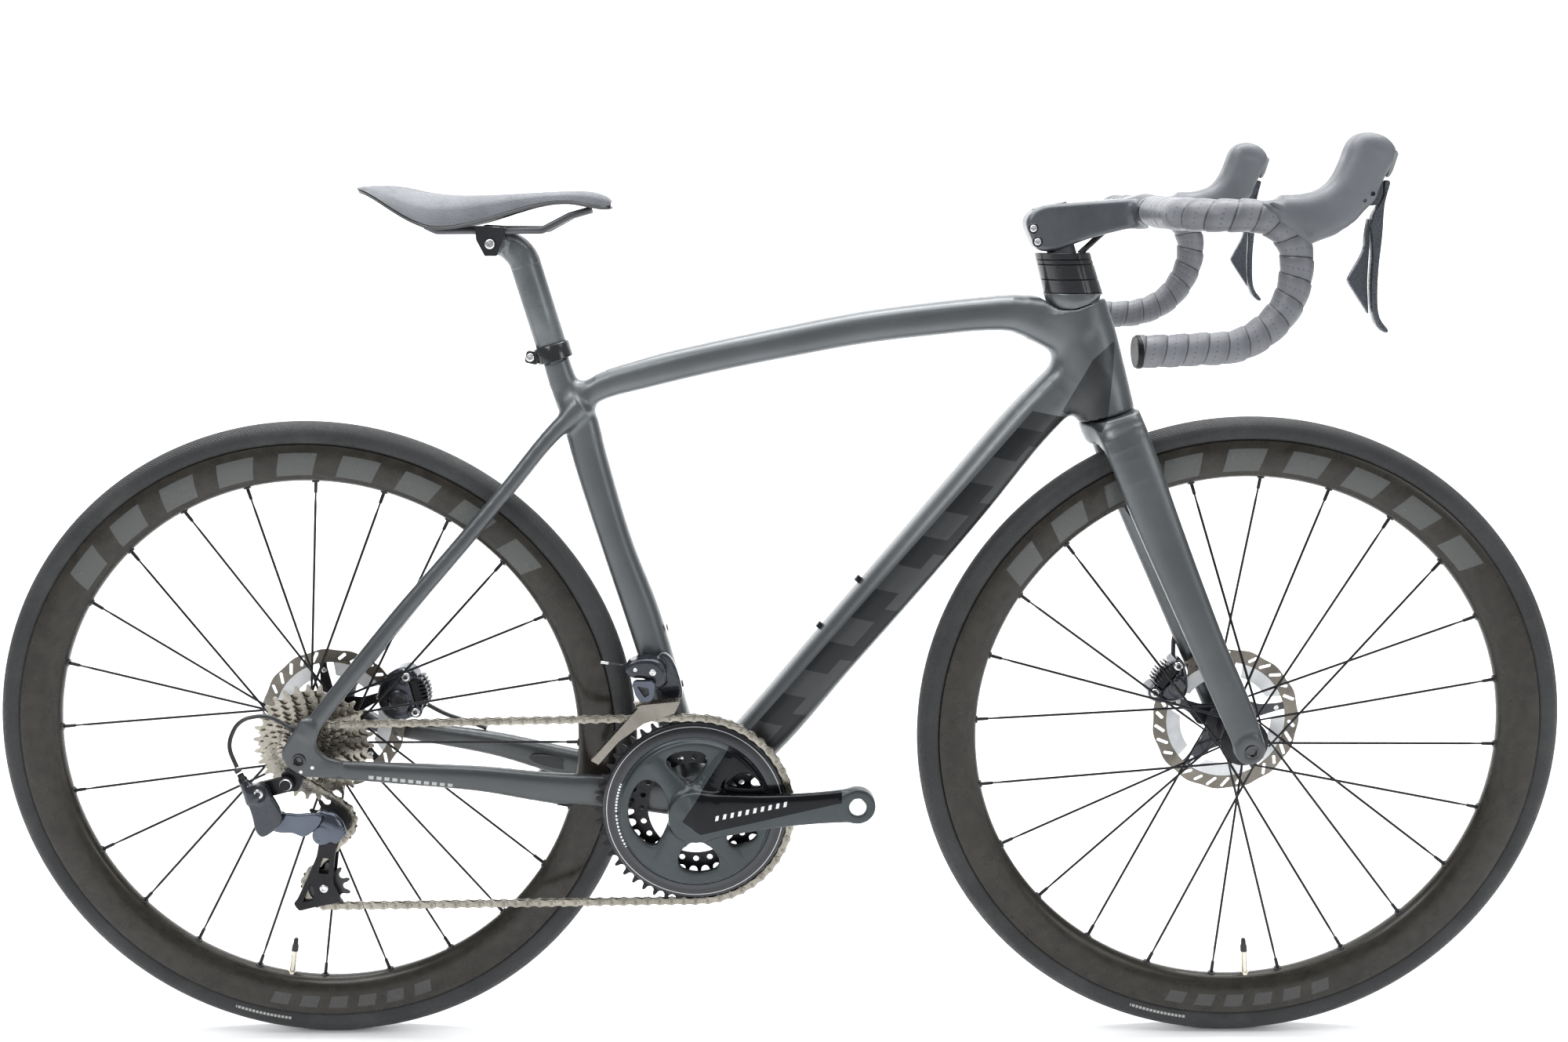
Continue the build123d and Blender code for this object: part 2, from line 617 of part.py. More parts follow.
def handlebar():
    tube = sweep_round(bar_route(0), BAR_RADIUS)
    whole = tube + mirror(tube, about=Plane.XZ)
    plug = rod((328.6, -BAR_HALF - 6, 768.2), (325.8, -BAR_HALF - 6.1, 768.1), 14.2)
    return [whole] + both(plug)


def bar_tape():
    sleeve = sweep_round(bar_route(44), TAPE_RADIUS) - sweep_round(bar_route(0), BAR_RADIUS)
    return both(sleeve)


def lever_hoods():
    """Brake lever bodies with their rubber covers."""
    outline = [(433.7, 901.7), (466.6, 905.5), (485.8, 911.5), (497.2, 921.3), (504.5, 936.3), (508.8, 952.9),
               (518, 960.5), (529, 961.8), (542, 957), (550.6, 947.4), (544.5, 927.1), (536.3, 913.6),
               (534.2, 901.4), (521.3, 892.3), (515.9, 883.2), (502.9, 873.2), (482.4, 864.8), (478, 858.6),
               (452, 878), (438.5, 893)]
    hood = slab(outline, -BAR_HALF - 17, -BAR_HALF + 17)
    hood = chamfer(hood.edges().filter_by(Axis.Y, reverse=True).group_by(Axis.Y)[0], 5)
    hood = chamfer(hood.edges().filter_by(Axis.Y, reverse=True).group_by(Axis.Y)[-1], 5)
    slot = slab([(505, 886), (512, 916), (530, 926), (560, 926), (560, 870), (505, 870)],
                -BAR_HALF - 9, -BAR_HALF + 9)
    hood -= slot
    hood -= sweep_round(bar_route(44), TAPE_RADIUS)
    hood = max(hood.solids(), key=lambda s: s.volume)
    pin = rod_y(*LEVER_PIVOT, 3, -BAR_HALF - 18.5, -BAR_HALF + 18.5)
    return both(hood - pin) + both(pin)


def lever_pivot():
    """Carrier that turns on the brake pivot and holds the lever blade."""
    block = slab([(512.5, 900), (514, 911), (527, 919), (540, 922), (541, 908), (536, 898), (520, 896.5)],
                 -BAR_HALF - 8, -BAR_HALF + 8)
    block += rod_y(*LEVER_PIVOT, 7, -BAR_HALF - 8, -BAR_HALF + 8)
    block -= rod_y(*LEVER_PIVOT, 3 + FIT, -BAR_HALF - 20, -BAR_HALF + 20)
    return block


def brake_blade():
    outline = [(541.8, 917), (546.8, 917.5), (544, 905), (542, 895.3), (542.1, 871), (540.3, 840), (541.4, 810.6),
               (544.5, 796.6), (551.9, 786.5), (549.5, 784.5), (541.5, 792), (537, 806), (534.8, 830),
               (534.8, 855.5), (532.2, 886), (537, 896.5), (542, 906)]
    blade = slab(outline, -BAR_HALF - 9.5, -BAR_HALF + 2)
    return blade + rod((540.5, -BAR_HALF, 900), (546, -BAR_HALF, 900), 2.5)


def shift_paddle():
    outline = [(531, 886), (528.7, 857), (516.6, 833.9), (519.4, 824.6), (532.6, 806), (535.6, 801.5),
               (535.2, 806), (533.2, 830), (533.2, 855.5)]
    return slab(outline, -BAR_HALF - 4, -BAR_HALF + 3.5)


def front_hoses(stem_body, top_spacer):
    """Hoses that drop from the stem into the spacers, and the tail at the front caliper."""
    solids = []
    for side in (-5, 5):
        solids.append(rod((334, side, 869.7), (309, side, 846.7), 2.4) - stem_body - top_spacer)
    tail = rounded_route([(408, 55, 436), (411, 54, 425), (421, 52, 417.5)])
    solids.append(sweep_round(tail, 2.4))
    return solids


# ---------------------------------------------------------------- wheels
def tyre(axle):
    middle = TYRE_RADIUS - TYRE_SECTION
    ring = Pos(middle, 0) * Circle(TYRE_SECTION) - Pos(middle, 0) * Circle(TYRE_SECTION - 2.4)
    ring -= Pos(RIM_OUTER - 20, 0) * Rectangle(40, 60)
    return [spin(ring, axle)]


def rim(axle, valve_angle):
    half = [(RIM_INNER, 2.5), (RIM_INNER + 5, 7.2), (RIM_INNER + 13, 11.2), (RIM_INNER + 24, RIM_HALF_WIDTH),
            (RIM_INNER + 33, 13.2), (RIM_OUTER, 12.2), (RIM_OUTER, 7.2), (RIM_OUTER - 7.5, 7.2)]
    profile = Polygon(*half, *[(r, -y) for r, y in reversed(half)], align=None)
    ring = spin(profile, axle)
    a = radians(valve_angle)
    start = (axle[0] + 276.6 * cos(a), 0, axle[1] + 276.6 * sin(a))
    end = (axle[0] + 240 * cos(a), 0, axle[1] + 240 * sin(a))
    return [ring, rod(start, end, 3)]


def spokes(axle, first_angle, right_flange, left_flange):
    """Crossed spokes with their nipples, alternately to the right and left flange."""
    cross, inner, outer, nipple = 52.0, 25.6, 276.5, 12.0
    solids = []
    for i in range(SPOKES):
        angle = first_angle + i * 360 / SPOKES
        flange_y = right_flange if i % 2 == 0 else left_flange
        turn = cross if (i // 2) % 2 == 0 else -cross
        near = radians(angle + turn)
        far = radians(angle)
        lace = 1.6 if turn > 0 else -1.6
        start = Vector(axle[0] + inner * cos(near), flange_y + lace, axle[1] + inner * sin(near))
        end = Vector(axle[0] + outer * cos(far), flange_y * 0.03, axle[1] + outer * sin(far))
        run = (end - start).normalized()
        spoke = rod(tuple(start), tuple(end), 1.0) + rod(tuple(end - run * nipple), tuple(end), 1.9)
        solids.append(spoke)
    return solids


def hub(axle, left_end, right_end, left_flange, right_flange):
    """Hub shell with two flanges and a bore for the axle."""
    profile = Polygon((AXLE_RADIUS + FIT, right_end), (10, right_end), (13, right_flange - 3),
                      (24, right_flange - 1.5), (24, right_flange + 1.5), (14, right_flange + 5),
                      (13, left_flange - 5), (24, left_flange - 1.5), (24, left_flange + 1.5),
                      (14, left_flange + 5), (10.4, left_flange + 8), (10.4, left_end), (AXLE_RADIUS + FIT, left_end), align=None)
    return spin(profile, axle)


def rotor(axle, y):
    """Disc rotor: slotted braking band on five arms."""
    band = Circle(ROTOR_RADIUS) - Circle(65.5)
    slots = Sketch()
    count = 30
    for i in range(count):
        spot = Rot(0, 0, i * 360 / count) * Pos(72.7, 0) * Rot(0, 0, 38)
        slots += spot * SlotOverall(12, 2.6)
    band -= slots
    arms = Circle(24) - Circle(17.5)
    for i in range(5):
        arms += Rot(0, 0, 72 * i + 20) * Pos(45, 6) * Rot(0, 0, 12) * Rectangle(46, 8)
    disc = push_y(Pos(*axle) * (band + arms), y - ROTOR_HALF, y + ROTOR_HALF)
    return [disc, ring_y(*axle, 11, 17.4, y - 3, y + 3)]


# ---------------------------------------------------------------- transmission
def cassette():
    solids = []
    bore = 17.2
    for i, teeth in enumerate(SPROCKETS):
        y = FIRST_SPROCKET_Y + i * SPROCKET_STEP
        phase = gap_phase(PINS, REAR_AXLE, pitch_radius(SPROCKETS[ENGAGED])) if i == ENGAGED else 0.13 * i
        solids.append(toothed_disc(teeth, phase, REAR_AXLE, y - SPROCKET_WIDTH / 2, y + SPROCKET_WIDTH / 2, bore, 2.9))
        if i:
            solids.append(ring_y(*REAR_AXLE, bore, 19.6, y - SPROCKET_STEP + 0.8, y - 0.8))
    return solids


def freehub():
    drum = rod_y(*REAR_AXLE, 17.2, FIRST_SPROCKET_Y - 1.6, -22.5)
    cap = rod_y(*REAR_AXLE, 11, -70.6, FIRST_SPROCKET_Y - 1)
    lock = ring_y(*REAR_AXLE, 11, 17.8, FIRST_SPROCKET_Y - 3.8, FIRST_SPROCKET_Y - 1.7)
    body = drum + cap - rod_y(*REAR_AXLE, AXLE_RADIUS + FIT, -80, 0)
    return [body, lock]


def crank_point(radius, angle):
    a = radians(angle)
    return (BB[0] + radius * cos(a), BB[1] + radius * sin(a))


def crank_arm_right():
    """Right arm with its four-arm spider and the spindle."""
    pedal = crank_point(CRANK_LENGTH, CRANK_ANGLE)
    arm = bar(*crank_point(30, CRANK_ANGLE), *pedal, 22.5, 18.5, -ARM_OUTER, -ARM_INNER)
    body = arm + rod_y(*BB, 24, -ARM_OUTER + 4, -45.2)
    for turn in (50, -50, 133, -133):
        end = crank_point(79, CRANK_ANGLE + turn)
        body += bar(*BB, *end, 20, 9, -60, -52)
    ring = ring_y(*BB, 70.5, 80.5, -52.8, -49.0)
    body += ring
    for turn in (50, -50, 133, -133):
        end = crank_point(75, CRANK_ANGLE + turn)
        body += rod_y(*end, 6, -56, -52)
    body += rod_y(*BB, SPINDLE_RADIUS, -60, 62)
    body -= rod_y(*pedal, PEDAL_HOLE_RADIUS, -80, -50)
    return [body]


def crank_arm_left():
    pedal = crank_point(-CRANK_LENGTH, CRANK_ANGLE)
    arm = bar(*BB, *pedal, 21, 18, ARM_INNER, ARM_OUTER)
    body = arm + rod_y(*BB, 20, 45.2, ARM_OUTER - 1)
    body -= rod_y(*BB, SPINDLE_RADIUS, 40, 62.05)
    body -= rod_y(*pedal, PEDAL_HOLE_RADIUS, 50, 80)
    cap = rod_y(*BB, 9, ARM_OUTER - 1, ARM_OUTER + 1)
    bolts = [rod((BB[0] - 30, 66, BB[1] - 26), (BB[0] - 30, 66, BB[1] - 21.5), 2.6)]
    return [body, cap - body] + [b - body for b in bolts]


def chainring_big():
    phase = gap_phase(PINS, BB, pitch_radius(BIG_TEETH))
    teeth = toothed_disc(BIG_TEETH, phase, BB, BIG_RING_Y - 0.95, BIG_RING_Y + 0.95, 82)
    web = ring_y(*BB, 74, 96, BIG_RING_Y - 2.1, BIG_RING_Y + 1.8)
    return [teeth + web]


def chainring_small():
    ring = toothed_disc(SMALL_TEETH, 0.05, BB, SMALL_RING_Y - 0.95, SMALL_RING_Y + 0.95, 50)
    holes = Sketch()
    for i in range(24):
        holes += Rot(0, 0, i * 15) * Pos(56.5, 0) * Circle(3)
    return [ring - push_y(Pos(*BB) * holes, SMALL_RING_Y - 5, SMALL_RING_Y + 5)]


def rear_mech_knuckle():
    """Upper body that hangs from the hanger link."""
    body = rod_y(*B_PIVOT, 9.5, -93, -82.8) + rod_y(*B_PIVOT, 4, -83, -76.8)
    body += slab([(-537, 312), (-521, 306), (-512, 290), (-516, 272), (-531, 268), (-541, 292)], -92, -85.5, 2)
    barrel = rod((-547.5, -84, 325), (-540, -87, 310), 4.2)
    return [body + barrel]


ARM_START = (-519.0, 276.0)
ARM_END = (-480.0, 259.5)


def rear_mech_arms():
    """Outer and inner parallelogram links."""
    outer = bar(ARM_START[0] + 3, ARM_START[1] - 1, ARM_END[0] - 9, ARM_END[1] + 3.5, 8, 9, -82.5, -78.5)
    inner = bar(ARM_START[0] + 3, ARM_START[1] - 2, ARM_END[0] - 12, ARM_END[1] + 3, 5.5, 5.5, -66, -62)
    return [outer, inner]


def rear_mech_lower():
    """Lower knuckle with the cage pivot."""
    body = rod_y(*CAGE_PIVOT, 12.5, -76.9, -61.3)
    return [body - rod_y(*CAGE_PIVOT, 4 + FIT, -80, -50)]


def rear_mech_cage():
    """Cage plates, their pulley bolts and the cage pivot pin."""
    guide_y = ENGAGED_Y
    outer = bar(*GUIDE, *TENSION, 9, 9, guide_y - 6.4, guide_y - 4.6)
    outer += rod_y(*CAGE_PIVOT, 11, guide_y - 10, guide_y - 4.6)
    outer += slab([(TENSION[0] - 33, TENSION[1] - 17), (TENSION[0] - 27, TENSION[1] - 25),
                   (TENSION[0] + 17, TENSION[1] - 16), (TENSION[0] + 8, TENSION[1] + 6),
                   (TENSION[0] - 4, TENSION[1] + 24)], guide_y - 6.4, guide_y - 4.6, 2)
    inner = bar(*GUIDE, *TENSION, 9, 9, guide_y + 4.6, guide_y + 6)
    tab = slab([(TENSION[0] - 33, TENSION[1] - 17), (TENSION[0] - 27, TENSION[1] - 25),
                (TENSION[0] - 25, TENSION[1] - 24), (TENSION[0] - 30, TENSION[1] - 16)],
               guide_y - 6.4, guide_y + 6)
    link = slab([(TENSION[0] - 33, TENSION[1] - 17), (TENSION[0] - 27, TENSION[1] - 25), (TENSION[0], TENSION[1] - 9),
                 (TENSION[0], TENSION[1])], guide_y + 4.6, guide_y + 6)
    body = outer + inner + tab + link
    for spot in (GUIDE, TENSION):
        body += rod_y(*spot, 3, guide_y - 7.2, guide_y + 6.5)
    pin = rod_y(*CAGE_PIVOT, 4, -74, guide_y - 8)
    return [body + pin]


def pulley(centre, phase):
    y = ENGAGED_Y
    return [toothed_disc(PULLEY_TEETH, phase, centre, y - 0.95, y + 0.95, 3 + FIT)
            + ring_y(*centre, 3 + FIT, 7, y - 3.6, y + 3.6)]


# ---------------------------------------------------------------- write every node
def write(name, solids):
    parts = [s for piece in solids for s in piece.solids()]
    shape = parts[0] if len(parts) == 1 else Compound(children=parts)
    export_step(shape, f"parts/{name}.step")
    box = shape.bounding_box()
    print(name, len(parts), round(sum(s.volume for s in parts) / 1000, 2), "cm3",
          [round(v, 1) for v in (*box.min, *box.max)], "" if all(s.is_valid for s in parts) else "INVALID")


def main():
    os.makedirs("parts", exist_ok=True)
    main_frame = front_triangle()
    write("front_triangle", main_frame)
    rear_frame = rear_triangle(main_frame[0])
    write("rear_triangle", rear_frame)
    write("headset", headset())
    write("bottom_bracket", bottom_bracket())
    write("derailleur_hanger", derailleur_hanger())
    write("frame_bolts", frame_bolts(main_frame[0]))
    write("rear_axle", thru_axle(REAR_AXLE, 78))
    write("front_mech_base", front_mech_base(main_frame[0]))
    write("rear_cables", rear_cables(rear_frame))
    write("chain", chain())
    write("seatpost", seatpost())
    write("seat_collar", seat_collar())
    write("saddle_clamp", saddle_clamp())
    write("saddle_cover", saddle_cover())
    rails = saddle_rails()
    write("saddle_rails", rails)
    write("saddle_shell", saddle_shell(rails))
    write("fork", fork())
    spacers = steering_spacers()
    write("steering_spacers", spacers)
    stem_solids = stem()
    write("stem", stem_solids)
    write("handlebar", handlebar())
    write("bar_tape", bar_tape())
    write("lever_hoods", lever_hoods())
    write("front_axle", thru_axle(FRONT_AXLE, 62))
    write("front_hoses", front_hoses(stem_solids[0], spacers[-1]))
    for name, piece in (("lever_pivot", lever_pivot()), ("brake_blade", brake_blade()),
                        ("shift_paddle", shift_paddle())):
        right, left = both(piece)
        write(f"{name}_right", [right])
        write(f"{name}_left", [left])
    rear_caliper = [(-438, 372), (-432, 346), (-412, 340), (-391, 352), (-389, 380), (-402, 400), (-424, 394)]
    front_caliper = [(401, 372), (412, 360), (438, 362), (445, 374), (437, 402), (426, 412), (404, 398)]
    write("rear_caliper", caliper(REAR_AXLE, REAR_ROTOR_Y, rear_caliper))
    write("front_caliper", caliper(FRONT_AXLE, FRONT_ROTOR_Y, front_caliper))
    for name, axle, y, spot in (("rear", REAR_AXLE, REAR_ROTOR_Y, (-422, 366)),
                                ("front", FRONT_AXLE, FRONT_ROTOR_Y, (431, 382))):
        left, right = brake_pads(axle, y, spot)
        write(f"{name}_pad_left", [left])
        write(f"{name}_pad_right", [right])
    write("tyre_front", tyre(FRONT_AXLE))
    write("rim_front", rim(FRONT_AXLE, 274.5))
    write("spokes_front", spokes(FRONT_AXLE, 12, -33, 24))
    write("hub_front", [hub(FRONT_AXLE, 49.6, -49.6, 24, -33)])
    write("rotor_front", rotor(FRONT_AXLE, FRONT_ROTOR_Y))
    write("tyre_rear", tyre(REAR_AXLE))
    write("rim_rear", rim(REAR_AXLE, 260.5))
    write("spokes_rear", spokes(REAR_AXLE, 13, -17, 34))
    write("hub_rear", [hub(REAR_AXLE, 70.6, -22.0, 34, -17)])
    write("rotor_rear", rotor(REAR_AXLE, REAR_ROTOR_Y))
    write("cassette", cassette())
    write("freehub", freehub())
    write("crank_arm_right", crank_arm_right())
    write("crank_arm_left", crank_arm_left())
    write("chainring_big", chainring_big())
    write("chainring_small", chainring_small())
    write("rear_mech_knuckle", rear_mech_knuckle())
    write("rear_mech_arms", rear_mech_arms())
    write("rear_mech_lower", rear_mech_lower())
    write("rear_mech_cage", rear_mech_cage())
    write("guide_pulley", pulley(GUIDE, gap_phase(PINS, GUIDE, pitch_radius(PULLEY_TEETH))))
    write("tension_pulley", pulley(TENSION, gap_phase(PINS, TENSION, pitch_radius(PULLEY_TEETH))))
    write("front_mech_link", front_mech_link())
    write("front_mech_cage", front_mech_cage())


main()
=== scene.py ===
"""Looks of the road bicycle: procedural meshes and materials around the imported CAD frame.

Sizes are written in millimetres and turned into metres when a mesh is made.
"""
import math

import bpy
import numpy as np
from mathutils import Matrix, Vector


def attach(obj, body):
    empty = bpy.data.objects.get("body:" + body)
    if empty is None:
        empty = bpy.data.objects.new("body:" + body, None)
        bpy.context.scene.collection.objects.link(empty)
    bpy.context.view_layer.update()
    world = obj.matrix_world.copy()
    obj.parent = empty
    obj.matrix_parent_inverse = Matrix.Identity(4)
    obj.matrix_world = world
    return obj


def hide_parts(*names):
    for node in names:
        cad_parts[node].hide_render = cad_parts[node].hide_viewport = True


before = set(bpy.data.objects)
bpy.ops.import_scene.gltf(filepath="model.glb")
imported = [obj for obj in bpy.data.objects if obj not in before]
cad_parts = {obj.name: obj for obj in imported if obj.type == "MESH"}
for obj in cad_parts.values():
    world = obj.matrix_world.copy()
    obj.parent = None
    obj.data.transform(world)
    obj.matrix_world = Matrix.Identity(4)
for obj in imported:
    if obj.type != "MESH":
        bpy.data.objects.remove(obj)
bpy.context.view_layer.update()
scene = bpy.context.scene

HEAD_ANGLE = math.radians(73.4)
UP = np.array([-math.cos(HEAD_ANGLE), 0, math.sin(HEAD_ANGLE)])
FWD = np.array([math.sin(HEAD_ANGLE), 0, math.cos(HEAD_ANGLE)])
HEAD_TOP = np.array([308.2, 0, 794.6])
HEAD_LENGTH = 116.0
MAST_ANGLE = math.radians(73.9)
MAST_UP = np.array([-math.cos(MAST_ANGLE), 0, math.sin(MAST_ANGLE)])
MAST_FOOT = np.array([-225.5, 0, 744.0])
BB = (-86.0, 272.5)
REAR, FRONT = (-489.5, 340.0), (489.5, 340.0)
CRANK_TURN = math.radians(4.4)
BAR_Y = 190.0
CRANK_LENGTH = 170
FORK_AXLE = (488.6, 341.0)
ROTOR_Y = {"front": 39.7, "rear": 52.2}
SPOKES = 24
SIDE = np.array([0, 1.0, 0])


def head_at(along, forward=0.0):
    """Point on the steering axis, measured up from the top of the head tube."""
    return HEAD_TOP + UP * along + FWD * forward


def mast_at(along):
    """Point on the seat mast's axis."""
    return MAST_FOOT + MAST_UP * along


def about(centre, radius, angle, y=0.0):
    """Point at a radius and an angle round an axle."""
    return np.array([centre[0] + radius * math.cos(angle), y, centre[1] + radius * math.sin(angle)])


# ---------------------------------------------------------------- materials
def operation(kind):
    """A Paint method that wires one math node."""
    def wire(paint, *values):
        return paint.math(kind, *values)
    return wire


class Paint:
    """A Principled material with small helpers to wire procedural nodes."""

    plus, minus, times, over = map(operation, ("ADD", "SUBTRACT", "MULTIPLY", "DIVIDE"))
    above, below, larger = map(operation, ("GREATER_THAN", "LESS_THAN", "MAXIMUM"))
    size, sine, root, fract = map(operation, ("ABSOLUTE", "SINE", "SQRT", "FRACT"))
    scaled, arctan = map(operation, ("MULTIPLY_ADD", "ARCTAN2"))

    def __init__(self, name, color, rough, metal=0.0, coat=0.0, coat_rough=0.08, spec=0.5):
        self.material = bpy.data.materials.new(name)
        self.material.use_nodes = True
        self.tree = self.material.node_tree
        self.shader = self.tree.nodes["Principled BSDF"]
        self.color, self.rough, self.metal = color, rough, metal
        self.shader.inputs["Base Color"].default_value = (*color, 1)
        self.shader.inputs["Roughness"].default_value = rough
        self.shader.inputs["Metallic"].default_value = metal
        self.shader.inputs["Coat Weight"].default_value = coat
        self.shader.inputs["Coat Roughness"].default_value = coat_rough
        self.shader.inputs["Specular IOR Level"].default_value = spec
        self.where = self.node("ShaderNodeTexCoord").outputs["Object"]

    def node(self, kind, **fields):
        made = self.tree.nodes.new(kind)
        for key, value in fields.items():
            setattr(made, key, value)
        return made

    def put(self, socket, value):
        if isinstance(value, bpy.types.NodeSocket):
            self.tree.links.new(value, socket)
        elif value is not None:
            socket.default_value = value

    def math(self, kind, *values):
        made = self.node("ShaderNodeMath", operation=kind)
        for socket, value in zip(made.inputs, values):
            self.put(socket, value)
        return made.outputs[0]

    def both(self, *masks):
        result = masks[0]
        for mask in masks[1:]:
            result = self.times(result, mask)
        return result

    def within(self, value, low, high):
        return self.both(self.above(value, low), self.below(value, high))

    def axes(self, where=None):
        made = self.node("ShaderNodeSeparateXYZ")
        self.put(made.inputs[0], where or self.where)
        return made.outputs

    def dashes(self, value, step, share):
        """Mask of a row of dashes, each one a share of its step long."""
        return self.below(self.fract(self.over(value, step)), share)

    def from_place(self, x0, z0):
        """Distances in mm ahead of and above a place on the bicycle."""
        x, _, z = self.axes()
        return self.scaled(x, 1000.0, -x0), self.scaled(z, 1000.0, -z0)

    def along(self, x0, z0, angle):
        """Distances in mm along and across a line through (x0, z0) that rises at an angle."""
        x, z = self.from_place(x0, z0)
        c, s = math.cos(angle), math.sin(angle)
        along = self.plus(self.times(x, c), self.times(z, s))
        across = self.minus(self.times(z, c), self.times(x, s))
        return along, across

    def polar(self, centre):
        """Radius in mm and angle in degrees about an axle."""
        x, z = self.from_place(*centre)
        radius = self.root(self.plus(self.times(x, x), self.times(z, z)))
        angle = self.times(self.arctan(z, x), 180 / math.pi)
        return radius, angle

    def noise(self, scale, detail=3.0, stretch=None):
        made = self.node("ShaderNodeTexNoise")
        made.inputs["Scale"].default_value = scale
        made.inputs["Detail"].default_value = detail
        self.put(made.inputs["Vector"], self.stretched(stretch))
        return made.outputs["Fac"]

    def cells(self, scale):
        made = self.node("ShaderNodeTexVoronoi")
        made.inputs["Scale"].default_value = scale
        self.put(made.inputs["Vector"], self.where)
        return made.outputs["Distance"]

    def stretched(self, stretch):
        if stretch is None:
            return self.where
        made = self.node("ShaderNodeMapping")
        made.inputs["Scale"].default_value = stretch
        self.put(made.inputs["Vector"], self.where)
        return made.outputs[0]

    def ramp(self, value, low, high, out_low=0.0, out_high=1.0):
        made = self.node("ShaderNodeMapRange")
        made.clamp = True
        for socket, number in zip(made.inputs, (value, low, high, out_low, out_high)):
            self.put(socket, number)
        return made.outputs[0]

    def mix(self, share, first, second):
        made = self.node("ShaderNodeMix", data_type="RGBA")
        self.put(made.inputs[0], share)
        for socket, value in ((made.inputs[6], first), (made.inputs[7], second)):
            self.put(socket, (*value, 1) if isinstance(value, tuple) else value)
        return made.outputs[2]

    def grain(self, scale=60.0, spread=0.25, rough_spread=0.12):
        """Soft variation of tint and gloss."""
        blotch = self.noise(scale * 0.25, 4.0)
        fine = self.noise(scale * 6, 3.0)
        dark = tuple(c * (1 - spread) for c in self.color)
        light = tuple(min(c * (1 + spread), 1) for c in self.color)
        tint = self.mix(self.ramp(blotch, 0.35, 0.65), dark, light)
        gloss = self.ramp(fine, 0.3, 0.7, max(self.rough - rough_spread, 0.03), self.rough + rough_spread)
        return tint, gloss

    def done(self, tint=None, gloss=None, height=None, strength=0.2, metal=None):
        self.put(self.shader.inputs["Base Color"], tint)
        self.put(self.shader.inputs["Roughness"], gloss)
        self.put(self.shader.inputs["Metallic"], metal)
        if height is not None:
            bump = self.node("ShaderNodeBump")
            bump.inputs["Strength"].default_value = strength
            bump.inputs["Distance"].default_value = 0.001
            self.put(bump.inputs["Height"], height)
            self.put(self.shader.inputs["Normal"], bump.outputs[0])
        return self.material


GRAPHITE = (0.112, 0.120, 0.126)
INK = (0.008, 0.0085, 0.0095)
TONAL = (0.034, 0.036, 0.037)


def plain(name, color, rough, metal=0.0, coat=0.0, depth=0.12, spread=0.2):
    """Painted or moulded surface with soft grain."""
    p = Paint(name, color, rough, metal, coat)
    tint, gloss = p.grain(90.0, spread, min(0.1, rough * 0.4))
    return p.done(tint, gloss, p.noise(720.0, 4.0), depth)


def frame_paint():
    """Satin graphite that darkens down the down tube and the rest of the lower frame as painted shade, with
    tonal blocks.
    """
    p = Paint("frame_paint", GRAPHITE, 0.36, 0.72, 0.35, 0.3)
    _, _, z = p.axes()
    flake = p.cells(2600.0)
    dark, light = (tuple(c * share for c in GRAPHITE) for share in (0.86, 1.12))
    base = p.mix(p.ramp(p.noise(9.0, 3.0), 0.35, 0.65), dark, light)
    base = p.mix(p.ramp(flake, 0.0, 0.5, 0.22, 0.0), base, (0.2, 0.21, 0.21))
    # painted shade: the lower parts of the frame darken with height, as if less overhead light reached them
    low_shade = p.ramp(z, 0.28, 0.72, 0.62, 0.0)
    base = p.mix(low_shade, base, (0.024, 0.0255, 0.026))
    s, t = p.along(-60.0, 292.0, math.atan2(443.0, 380.0))
    lean = p.scaled(t, 0.55, s)
    panel = p.both(p.within(lean, 34.0, 520.0), p.within(t, -21.0, 14.5))
    block = p.fract(p.over(p.plus(lean, 20.0), 74.0))
    row = p.fract(p.over(p.plus(lean, 57.0), 148.0))
    upper = p.both(p.within(block, 0.0, 0.46), p.within(t, -8.0, 30.0))
    lower = p.both(p.within(row, 0.1, 0.62), p.within(t, -21.0, -7.0))
    bars = p.larger(upper, lower)
    base = p.mix(panel, base, INK)
    base = p.mix(p.both(panel, bars), base, TONAL)
    hs, ht = p.along(324.0, 722.0, math.radians(62.0))
    wedge = p.plus(p.size(ht), p.times(hs, 0.42))
    mark = p.both(p.within(wedge, -60.0, 19.0), p.within(hs, -44.0, 42.0), p.within(ht, -30.0, 12.0))
    base = p.mix(p.times(mark, 0.85), base, (0.02, 0.021, 0.022))
    c_along, c_across = p.along(-420.0, 320.0, math.radians(-9.0))
    dash = p.both(p.within(c_along, 0.0, 88.0), p.within(c_across, -2.4, 1.6),
                  p.dashes(c_along, 8.0, 0.62), p.below(p.axes()[1], 0.0))
    base = p.mix(p.times(dash, 0.75), base, (0.42, 0.43, 0.42))
    gloss = p.ramp(p.noise(420.0, 3.0), 0.3, 0.7, 0.31, 0.43)
    return p.done(base, gloss, p.noise(1500.0, 3.0), 0.05)


